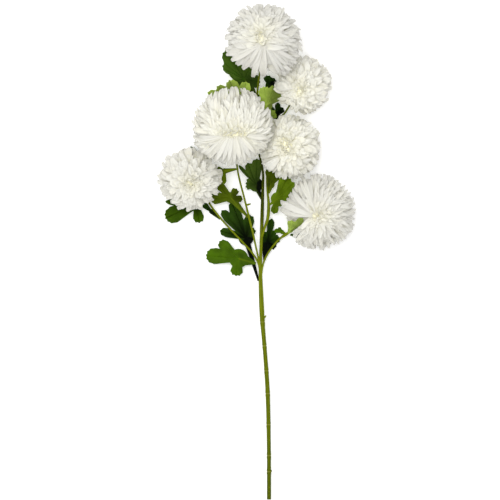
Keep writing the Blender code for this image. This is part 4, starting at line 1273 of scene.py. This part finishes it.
def scale_grid(bloom, turn, inner):
    """A small pointed green scale that lies along the cup, with its tip free at the rim."""
    top, foot = seat_depth(bloom) + SEAT_GAP, calyx_foot(bloom)
    run = SCALE_ROWS if inner else SCALE_ROWS * OUTER_LENGTH
    out = SCALE_ROOT + (rim_radius(bloom) + SCALE_OVERHANG - SCALE_ROOT) * run**SCALE_BULGE
    out += INNER_LIFT if inner else OUTER_LIFT
    up = -foot + SCALE_START + (foot - top - SCALE_SHORTNESS) * run**SCALE_CLIMB
    belly = np.maximum(0.0, 1 - (2 * SCALE_ROWS - SCALE_BELLY) ** 2 / SCALE_SLIMNESS)
    half_width = SCALE_HALF_WIDTH * np.sqrt(belly) * (1 - SCALE_ROWS**4)
    spoke = np.array((math.cos(turn), math.sin(turn), 0.0))
    aside = np.array((-math.sin(turn), math.cos(turn), 0.0))
    dip = SCALE_DIP * SCALE_COLUMNS**2
    grid = spoke * (out[:, None] - dip)[..., None] + np.array((0.0, 0.0, 1.0)) * up[:, None, None]
    return grid + aside * (half_width[:, None] * SCALE_COLUMNS)[..., None]


def scale_turns(count, first, shift):
    """The directions of a ring of scales."""
    return [2 * math.pi * (i + first + shift * (i % 2)) / count for i in range(count)]


def make_calyx(name, bloom):
    profile = cup_profile(bloom)
    around = np.linspace(0, 2 * math.pi, CUP_SIDES, endpoint=False)
    out, up = profile[1:-1, :1], np.repeat(profile[1:-1, 1:], CUP_SIDES, axis=1)
    rings = np.stack((out * np.cos(around), out * np.sin(around), up), axis=-1)
    points = np.vstack((rings.reshape(-1, 3), (0.0, 0.0, profile[0][1]), (0.0, 0.0, profile[-1][1])))
    grids = [scale_grid(bloom, turn, True) for turn in scale_turns(*INNER_SCALES)]
    grids += [scale_grid(bloom, turn, False) for turn in scale_turns(*OUTER_SCALES)]
    places, scales, source, rim = closed_shells(grids, SCALE_THICKNESS)
    faces = as_faces(capped_quads(len(out), CUP_SIDES)) + moved_on(scales, len(points))
    row = source % (len(SCALE_ROWS) * len(SCALE_COLUMNS)) // len(SCALE_COLUMNS)
    edge = np.append(np.zeros(len(points)), row / (len(SCALE_ROWS) - 1))
    turn = Vector((0, 0, 1)).rotation_difference(-Vector(bloom.calyx_way).normalized()).to_matrix()
    every = np.vstack((points, places)) @ np.array(turn).T + np.array(bloom.centre)
    obj = mesh_object("calyx_%s_piece" % name, every, faces, {"edge": edge})
    sharpen(obj.data, np.append(np.zeros(len(points), bool), rim))
    return obj


# Shader maths


class Wire:
    """One output of a shader node. Arithmetic on it adds Math nodes, and make adds any other node."""

    def __init__(self, tree, socket=None):
        self.tree = tree
        self.socket = socket

    def make(self, kind, settings=(), inputs=(), output=0):
        """Adds a node with its settings and the values or links of its inputs. Returns one of its outputs."""
        node = self.tree.nodes.new(kind)
        for name, value in dict(settings).items():
            setattr(node, name, value)
        for key, value in dict(inputs).items():
            if isinstance(value, Wire):
                self.tree.links.new(value.socket, node.inputs[key])
            else:
                node.inputs[key].default_value = value
        return Wire(self.tree, node.outputs[output])

    def maths(self, operation, *values):
        return self.make("ShaderNodeMath", {"operation": operation}, dict(enumerate(values)))

    def larger(self, other):
        return self.maths("MAXIMUM", self, other)

    def __add__(self, other):
        return self.maths("ADD", self, other)

    def __sub__(self, other):
        return self.maths("SUBTRACT", self, other)

    def __rsub__(self, other):
        return self.maths("SUBTRACT", other, self)

    def __mul__(self, other):
        return self.maths("MULTIPLY", self, other)

    def __truediv__(self, other):
        return self.maths("DIVIDE", self, other)

    def __pow__(self, other):
        return self.maths("POWER", self, other)

    __radd__ = __add__
    __rmul__ = __mul__

    def size(self):
        return self.maths("ABSOLUTE", self)

    def wave(self):
        return self.maths("SINE", self)

    def ramp(self, low, high):
        """0 at low and below, 1 at high and above, and smooth between."""
        settings = {"interpolation_type": "SMOOTHSTEP"}
        return self.make("ShaderNodeMapRange", settings, {"Value": self, "From Min": low, "From Max": high})

    def mixed(self, colour, factor):
        """This colour mixed with a plain one by a factor."""
        return self.make("ShaderNodeMix", {"data_type": "RGBA"}, {0: factor, 6: self, 7: opaque(colour)}, 2)

    def attribute(self, name, output="Fac"):
        return self.make("ShaderNodeAttribute", {"attribute_name": name}, output=output)

    def parts(self, axis):
        """One coordinate of a vector: 0, 1 or 2."""
        return self.make("ShaderNodeSeparateXYZ", inputs={0: self}, output=axis)

    def joined(self, y, z):
        return self.make("ShaderNodeCombineXYZ", inputs={0: self, 1: y, 2: z})

    def noise(self, scale, detail=2.0):
        """Noise from 0 to 1 over these coordinates."""
        return self.make("ShaderNodeTexNoise", inputs={"Vector": self, "Scale": scale, "Detail": detail})

    def stretched(self, x, y, z):
        return self.make("ShaderNodeMapping", inputs={"Vector": self, "Scale": (x, y, z)})


def opaque(colour):
    return (*colour, 1.0)


def lit(colour, factor):
    """A colour made darker or lighter."""
    return tuple(min(1.0, factor * part) for part in colour)


def new_material(name, **constants):
    """A material with its shader's own numbers set. Returns it, its shader node and a wire to start from."""
    made = bpy.data.materials.new(name)
    made.use_nodes = True
    shader = made.node_tree.nodes["Principled BSDF"]
    for label, value in constants.items():
        shader.inputs[label.replace("_", " ")].default_value = value
    return made, shader, Wire(made.node_tree)


def places_of(start):
    return start.make("ShaderNodeTexCoord", output="Object")


def connect(shader, start, colour, roughness, height, strength, distance):
    """Feeds the shader its colour and roughness, and a bump from a height."""
    bump = start.make("ShaderNodeBump", inputs={"Height": height, "Strength": strength, "Distance": distance})
    for label, wire in (("Base Color", colour), ("Roughness", roughness), ("Normal", bump)):
        start.tree.links.new(wire.socket, shader.inputs[label])


def flat_colour(start, colour):
    """A colour as a wire, for mixing with others."""
    both = {0: 0.0, 6: opaque(colour), 7: opaque(colour)}
    return start.make("ShaderNodeMix", {"data_type": "RGBA"}, both, 2)


def petal_material(colours):
    """White petals: cream with a painted glow at roots and heart, and painted grey shade on their rims.

    along goes from a petal's root to its tip, across from side to side, and depth from the heart outward.
    """
    made, shader, start = new_material(
        "petal_skin",
        Subsurface_Weight=0.15,
        Subsurface_Scale=0.005,
        Specular_IOR_Level=0.15,
        Emission_Strength=0.24,
    )
    shader.inputs["Subsurface Radius"].default_value = (1.0, 0.95, 0.85)
    values = start.attribute("petal", "Vector")
    along, across, tint = values.parts(0), values.parts(1), values.parts(2)
    depth = start.attribute("depth")
    fine = along.joined(across * 3.0, tint * 50.0).stretched(1.4, 3.0, 1.0).noise(1.6, 3.0)
    heart = (1 - depth.ramp(0.01, 0.11)) * (1 - along.ramp(0.35, 0.90) * 0.8)
    root = 1 - along.ramp(0.20, 0.65)
    glow = (1 - depth.ramp(0.05, 0.42)) * 0.30
    cream = heart.larger(root * 0.8).larger(glow) * (0.75 + fine * 0.5)
    # Painted shade: a grey line along each petal's edges, stronger outward, and grey tips on the outer petals
    painted_edge_shade = across.size().ramp(0.62, 1.0) * (0.12 + depth * 0.50)
    rim = painted_edge_shade + along.ramp(0.84, 1.0) * depth.ramp(0.3, 0.9) * 0.65
    colour = flat_colour(start, colours.petal).mixed(colours.petal_warm, tint.ramp(0.35, 1.0) * 0.6)
    colour = colour.mixed(colours.petal_heart_and_glow, cream)
    # A duller tone on some petals at random, and painted shade on the outer petals
    dull_tone_and_shade = (tint * 57.0).wave().ramp(-0.2, 1.0) * 0.22 + depth.ramp(0.45, 1.0) * 0.26
    colour = colour.mixed(colours.petal_grey_and_shade, rim.larger(dull_tone_and_shade))
    grey = start.attribute("grey")
    colour = colour.mixed(colours.petal_grey_and_shade, grey * (0.45 + depth.ramp(0.10, 0.50) * 0.55))
    # A painted glow at the roots and in the heart stands for light passed through the petals; greyer blooms
    # get less
    painted_glow_share = (1 - along.ramp(0.15, 0.80)) * (1 - depth.ramp(0.05, 0.60) * 0.65) * (1 - grey)
    light = flat_colour(start, (0.0, 0.0, 0.0)).mixed(colours.petal_heart_and_glow, painted_glow_share)
    start.tree.links.new(light.socket, shader.inputs["Emission Color"])
    lines = (across * 11.0).wave() * 0.35 + fine * 0.65
    connect(shader, start, colour, 0.58 + fine * 0.24, lines, 0.4, 0.0006)
    return made


def stem_material(colours):
    """Olive green bark: painted shade in its grooves and under the leaves, a darker foot and straw joints.

    It is yellower by the forks and on young stalks. The ramps over y are places along the stem, in metres.
    """
    made, shader, start = new_material("stem_skin", Specular_IOR_Level=0.03)
    places = places_of(start)
    y = places.parts(1)
    rib, youth = start.attribute("rib"), start.attribute("youth")
    streaks = places.stretched(900.0, 60.0, 900.0).noise(1.0, 4.0)
    patches = places.noise(45.0, 3.0)
    fork = y.ramp(-0.16, -0.03) * (1 - y.ramp(0.03, 0.13))
    young = (fork * 0.45 + youth * 0.25) * patches
    colour = flat_colour(start, colours.stem).mixed(colours.stem_young, young)
    # Painted shade in the grooves between the ribs
    colour = colour.mixed(colours.stem_dark_and_shade, (1 - rib.ramp(-1.0, 0.4)) * 0.45)
    # Painted shade on the upper stem, under the leaves
    shaded = y.ramp(0.00, 0.07) * (1 - y.ramp(0.13, 0.15)) * (1 - youth)
    colour = colour.mixed(lit(colours.stem_dark_and_shade, 0.4), shaded * 0.9)
    colour = colour.mixed(colours.stem_dark_and_shade, (1 - y.ramp(-0.345, -0.20)) * 0.60)
    colour = colour.mixed(colours.stem_dark_and_shade, streaks.ramp(0.48, 0.70) * 0.55)
    colour = colour.mixed(colours.stem_young, places.noise(330.0, 2.0).ramp(0.58, 0.75) * 0.35)
    for joint in JOINTS_Y:
        near = (y - joint).size() / JOINT_SCAR_WIDTH
        colour = colour.mixed(colours.scar, (1 - near.ramp(0.2, 1.0)) * 0.55)
    connect(shader, start, colour, 0.42 + streaks * 0.25, rib * 0.2 + streaks, 0.35, 0.0004)
    return made


def leaf_material(tint, colours, vein_spacing):
    """A leaf: its own green, with light veins and blotches, deep where it is shaded and paler underneath."""
    made, shader, start = new_material("leaf_%s_skin" % tint, Specular_IOR_Level=0.03)
    places = places_of(start)
    vein = start.attribute("vein", "Vector")
    along, aside, stalk = vein.parts(0), vein.parts(1).size(), vein.parts(2)
    edge, under = start.attribute("edge"), start.attribute("under")
    blotches = places.noise(BLOTCH_SCALE, 3.0)
    grain = places.noise(GRAIN_SCALE, 3.0)
    main = 1 - (aside / MAIN_VEIN_WIDTH).ramp(0.35, 1.25)
    midrib = (1 - (aside / MIDRIB_WIDTH).ramp(0.2, 1.0)) * stalk
    steps = (along - aside * VEIN_SLANT + blotches * VEIN_STRAYING) / vein_spacing
    side = 1 - (steps.maths("FRACT", steps) - 0.5).size().ramp(0.02, 0.09)
    side = side * (1 - edge.ramp(0.82, 1.0)) * aside.ramp(0.0, 0.002) * (1 - stalk)
    green = getattr(colours, "leaf_" + tint)
    pale = lit(green, 1.5)
    shade, light = start.attribute("shade"), start.attribute("light")
    # light: a paler green of some leaves, and painted light on leaves that lie in shade
    colour = flat_colour(start, green).mixed(colours.leaf_pale, light)
    colour = colour.mixed(lit(green, 0.5), blotches.ramp(0.40, 0.68) * 0.5)
    colour = colour.mixed(pale, (1 - blotches.ramp(0.30, 0.50)) * 0.35)
    colour = colour.mixed(pale, (main * 0.75).larger(side * 0.35))
    colour = colour.mixed(colours.stem_young, midrib * 0.2)
    colour = colour.mixed(pale, edge.ramp(0.94, 1.0) * 0.30)
    # Painted shade: deep green round the hub and on one side
    colour = colour.mixed(lit(green, 0.03), shade)
    colour = colour.mixed(pale, under * 0.45)
    height = grain * 0.25 - main - side * 0.5 + blotches * 0.5
    connect(shader, start, colour, 0.44 + grain * 0.22 + blotches * 0.08, height, 0.45, 0.0006)
    return made


def calyx_material(colours):
    """The green cup under a bloom, with papery light edges on its scales."""
    made, shader, start = new_material("calyx_skin", Specular_IOR_Level=0.05)
    places = places_of(start)
    edge = start.attribute("edge")
    streaks = places.stretched(500.0, 500.0, 120.0).noise(1.0, 3.0)
    colour = flat_colour(start, colours.calyx).mixed(colours.stem_young, edge.ramp(0.5, 1.0) * 0.7)
    colour = colour.mixed(colours.leaf_dark, streaks.ramp(0.45, 0.7) * 0.5)
    connect(shader, start, colour, 0.55 + streaks * 0.2, streaks, 0.3, 0.0004)
    return made


# Stage


def make_floor(side, colour):
    made, shader, _ = new_material(
        "floor_paper", Roughness=0.9, Specular_IOR_Level=0.1, Emission_Strength=FLOOR_GLOW
    )
    shader.inputs["Base Color"].default_value = opaque(colour)
    shader.inputs["Emission Color"].default_value = opaque(colour)
    corners = [(x * side / 2, y * side / 2, -FLOOR_DEPTH) for x, y in ((-1, -1), (1, -1), (1, 1), (-1, 1))]
    mesh = bpy.data.meshes.new("floor")
    mesh.from_pydata(corners, [], [(0, 1, 2, 3)])
    mesh.materials.append(made)
    floor = bpy.data.objects.new("floor", mesh)
    bpy.context.scene.collection.objects.link(floor)
    floor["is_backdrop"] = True


def make_lights(scene):
    """A white room all round, and one wide soft lamp above the spray, a little to its upper left."""
    scene.world = bpy.data.worlds.new("studio")
    scene.world.use_nodes = True
    background = scene.world.node_tree.nodes["Background"]
    background.inputs["Color"].default_value = (1.0, 1.0, 1.0, 1.0)
    background.inputs["Strength"].default_value = ROOM_LIGHT
    lamp = bpy.data.lights.new("soft_lamp", "AREA")
    lamp.shape = "DISK"
    lamp.size = LAMP_SIZE
    lamp.energy = LAMP_POWER
    holder = bpy.data.objects.new("soft_lamp", lamp)
    holder.location = LAMP_PLACE
    holder.rotation_euler = (Vector(LAMP_AIM) - holder.location).to_track_quat("-Z", "Y").to_euler()
    scene.collection.objects.link(holder)
    scene.view_settings.view_transform = "Standard"


def make_camera(scene):
    """Looks straight down from far above, so that tall blooms keep their places in the photo's frame."""
    data = bpy.data.cameras.new("camera")
    data.sensor_width = SENSOR_WIDTH
    data.lens = LENS
    data.clip_end = FAR_LIMIT
    camera = bpy.data.objects.new("camera", data)
    camera.location = (*PHOTO_MIDDLE, MIDDLE_HEIGHT + PHOTO_SIDE * LENS / SENSOR_WIDTH)
    scene.collection.objects.link(camera)
    scene.camera = camera


# What a user may change


def colour_property(name, description, default):
    return FloatVectorProperty(
        name=name, description=description, default=default, subtype="COLOR", size=3, min=0.0, max=1.0
    )


def length_property(name, description, default):
    return FloatProperty(
        name=name, description=description, default=default, unit="LENGTH", min=0.0, precision=5
    )


class SpraySizes(bpy.types.PropertyGroup):
    petal_thickness: length_property("Petal thickness", "How thick a petal is in its middle", 0.0005)
    leaf_thickness: length_property("Leaf thickness", "How thick a leaf is in its middle", 0.0006)
    rib_depth: length_property("Rib depth", "How deep the grooves along the stem are", 0.00012)
    vein_relief: length_property("Vein relief", "How far the blade stands up between its veins", 0.0006)
    vein_spacing: length_property("Vein spacing", "How far apart the side veins are", 0.0046)
    leaf_wave: length_property("Leaf wave", "How far a leaf's edge waves up and down", 0.0005)
    floor_side: length_property("Floor side", "The side of the square floor", 6.0)
    leaf_seed: IntProperty(name="Leaf seed", description="Another number waves the leaves anew", default=11)
    petal_seed: IntProperty(name="Petal seed", description="Another number gives other petals", default=53)


class SprayColours(bpy.types.PropertyGroup):
    petal: colour_property("Petal", "White of the petals", (0.86, 0.848, 0.752))
    petal_warm: colour_property("Warm petal", "Warmer white that some petals have", (0.87, 0.84, 0.69))
    # The heart's cream is also the colour of the petals' painted glow
    petal_heart_and_glow: colour_property("Heart", "Cream of the heart and the petals' roots", (0.87, 0.84, 0.62))
    # This grey is the petals' and blooms' duller tone, and the painted shade on rims and outer petals
    petal_grey_and_shade: colour_property("Rim", "Cool grey of the petals' rims", (0.58, 0.57, 0.54))
    stem: colour_property("Stem", "Olive green of the stem", (0.120, 0.147, 0.003))
    stem_young: colour_property("Young stem", "Yellow green near the forks", (0.27, 0.33, 0.010))
    # This dark green also paints the shade in the grooves and under the leaves
    stem_dark_and_shade: colour_property("Dark stem", "Dark green in the grooves", (0.052, 0.070, 0.002))
    scar: colour_property("Scar", "Straw of the joints' rings", (0.26, 0.25, 0.05))
    calyx: colour_property("Calyx", "Green of the cups", (0.13, 0.22, 0.03))
    leaf_dark: colour_property("Dark leaf", "Dark green", (0.022, 0.066, 0.002))
    leaf_mid: colour_property("Middle leaf", "Middle green", (0.047, 0.106, 0.001))
    leaf_olive: colour_property("Olive leaf", "Olive green", (0.072, 0.108, 0.001))
    leaf_bright: colour_property("Bright leaf", "Bright green", (0.094, 0.160, 0.001))
    leaf_pale: colour_property("Pale leaf", "Pale green", (0.340, 0.470, 0.075))
    floor: colour_property("Floor", "The pale floor", (0.98, 0.98, 0.98))


# Operators


class SPRAY_OT_stage(bpy.types.Operator):
    """Lay the pale floor, hang the soft lights and set the camera above the spray"""

    bl_idname = "spray.stage"
    bl_label = "Stage"

    def execute(self, context):
        sizes, colours = context.scene.spray_sizes, context.scene.spray_colours
        make_floor(sizes.floor_side, colours.floor)
        make_lights(context.scene)
        make_camera(context.scene)
        return {"FINISHED"}


class SPRAY_OT_stem(bpy.types.Operator):
    """Build the stem with its stalks, joints and bud scars"""

    bl_idname = "spray.stem"
    bl_label = "Stem"

    def execute(self, context):
        sizes, colours = context.scene.spray_sizes, context.scene.spray_colours
        finished(make_stem(sizes), "stem", "stem", stem_material(colours))
        return {"FINISHED"}


class SPRAY_OT_leaves(bpy.types.Operator):
    """Build every leaf, each on its own short stalk"""

    bl_idname = "spray.leaves"
    bl_label = "Leaves"

    def execute(self, context):
        sizes, colours = context.scene.spray_sizes, context.scene.spray_colours
        stem_tree = node_tree("stem")
        draw = random.Random(sizes.leaf_seed)
        skins = {}
        for name, leaf in LEAVES.items():
            if leaf.tint not in skins:
                skins[leaf.tint] = leaf_material(leaf.tint, colours, sizes.vein_spacing)
            obj = make_leaf(name, leaf, stem_tree, sizes, draw)
            finished(obj, "leaf_" + name, "leaf_" + leaf.tint, skins[leaf.tint])
        return {"FINISHED"}


class SPRAY_OT_calyxes(bpy.types.Operator):
    """Build the green cup under each bloom"""

    bl_idname = "spray.calyxes"
    bl_label = "Calyxes"

    def execute(self, context):
        skin = calyx_material(context.scene.spray_colours)
        for name, bloom in BLOOMS.items():
            finished(make_calyx(name, bloom), "calyx_" + name, "calyx", skin)
        return {"FINISHED"}


class SPRAY_OT_blooms(bpy.types.Operator):
    """Build the six blooms, petal by petal, clear of the leaves and stalks"""

    bl_idname = "spray.blooms"
    bl_label = "Blooms"

    def execute(self, context):
        sizes = context.scene.spray_sizes
        skin = petal_material(context.scene.spray_colours)
        greens = greens_tree()
        for name, bloom in BLOOMS.items():
            finished(make_bloom(name, bloom, greens, sizes), "bloom_" + name, "petal", skin)
        return {"FINISHED"}


class SPRAY_PT_spray(bpy.types.Panel):
    """Lists the spray's sizes, colours and building steps"""

    bl_idname = "SPRAY_PT_spray"
    bl_label = "Chrysanthemum spray"
    bl_space_type = "VIEW_3D"
    bl_region_type = "UI"
    bl_category = "Spray"

    def draw(self, context):
        for group in (context.scene.spray_sizes, context.scene.spray_colours):
            for name in group.bl_rna.properties.keys():
                if name not in ("rna_type", "name"):
                    self.layout.prop(group, name)
        for operator in STEPS:
            self.layout.operator(operator.bl_idname)


STEPS = (SPRAY_OT_stage, SPRAY_OT_stem, SPRAY_OT_leaves, SPRAY_OT_calyxes, SPRAY_OT_blooms)
CLASSES = (SpraySizes, SprayColours, *STEPS, SPRAY_PT_spray)


def register():
    for cls in CLASSES:
        bpy.utils.register_class(cls)
    bpy.types.Scene.spray_sizes = PointerProperty(type=SpraySizes)
    bpy.types.Scene.spray_colours = PointerProperty(type=SprayColours)


def unregister():
    del bpy.types.Scene.spray_colours
    del bpy.types.Scene.spray_sizes
    for cls in reversed(CLASSES):
        bpy.utils.unregister_class(cls)


def main():
    register()
    bpy.ops.spray.stage()
    bpy.ops.spray.stem()
    bpy.ops.spray.leaves()
    bpy.ops.spray.calyxes()
    bpy.ops.spray.blooms()
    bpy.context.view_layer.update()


if __name__ == "__main__":
    main()
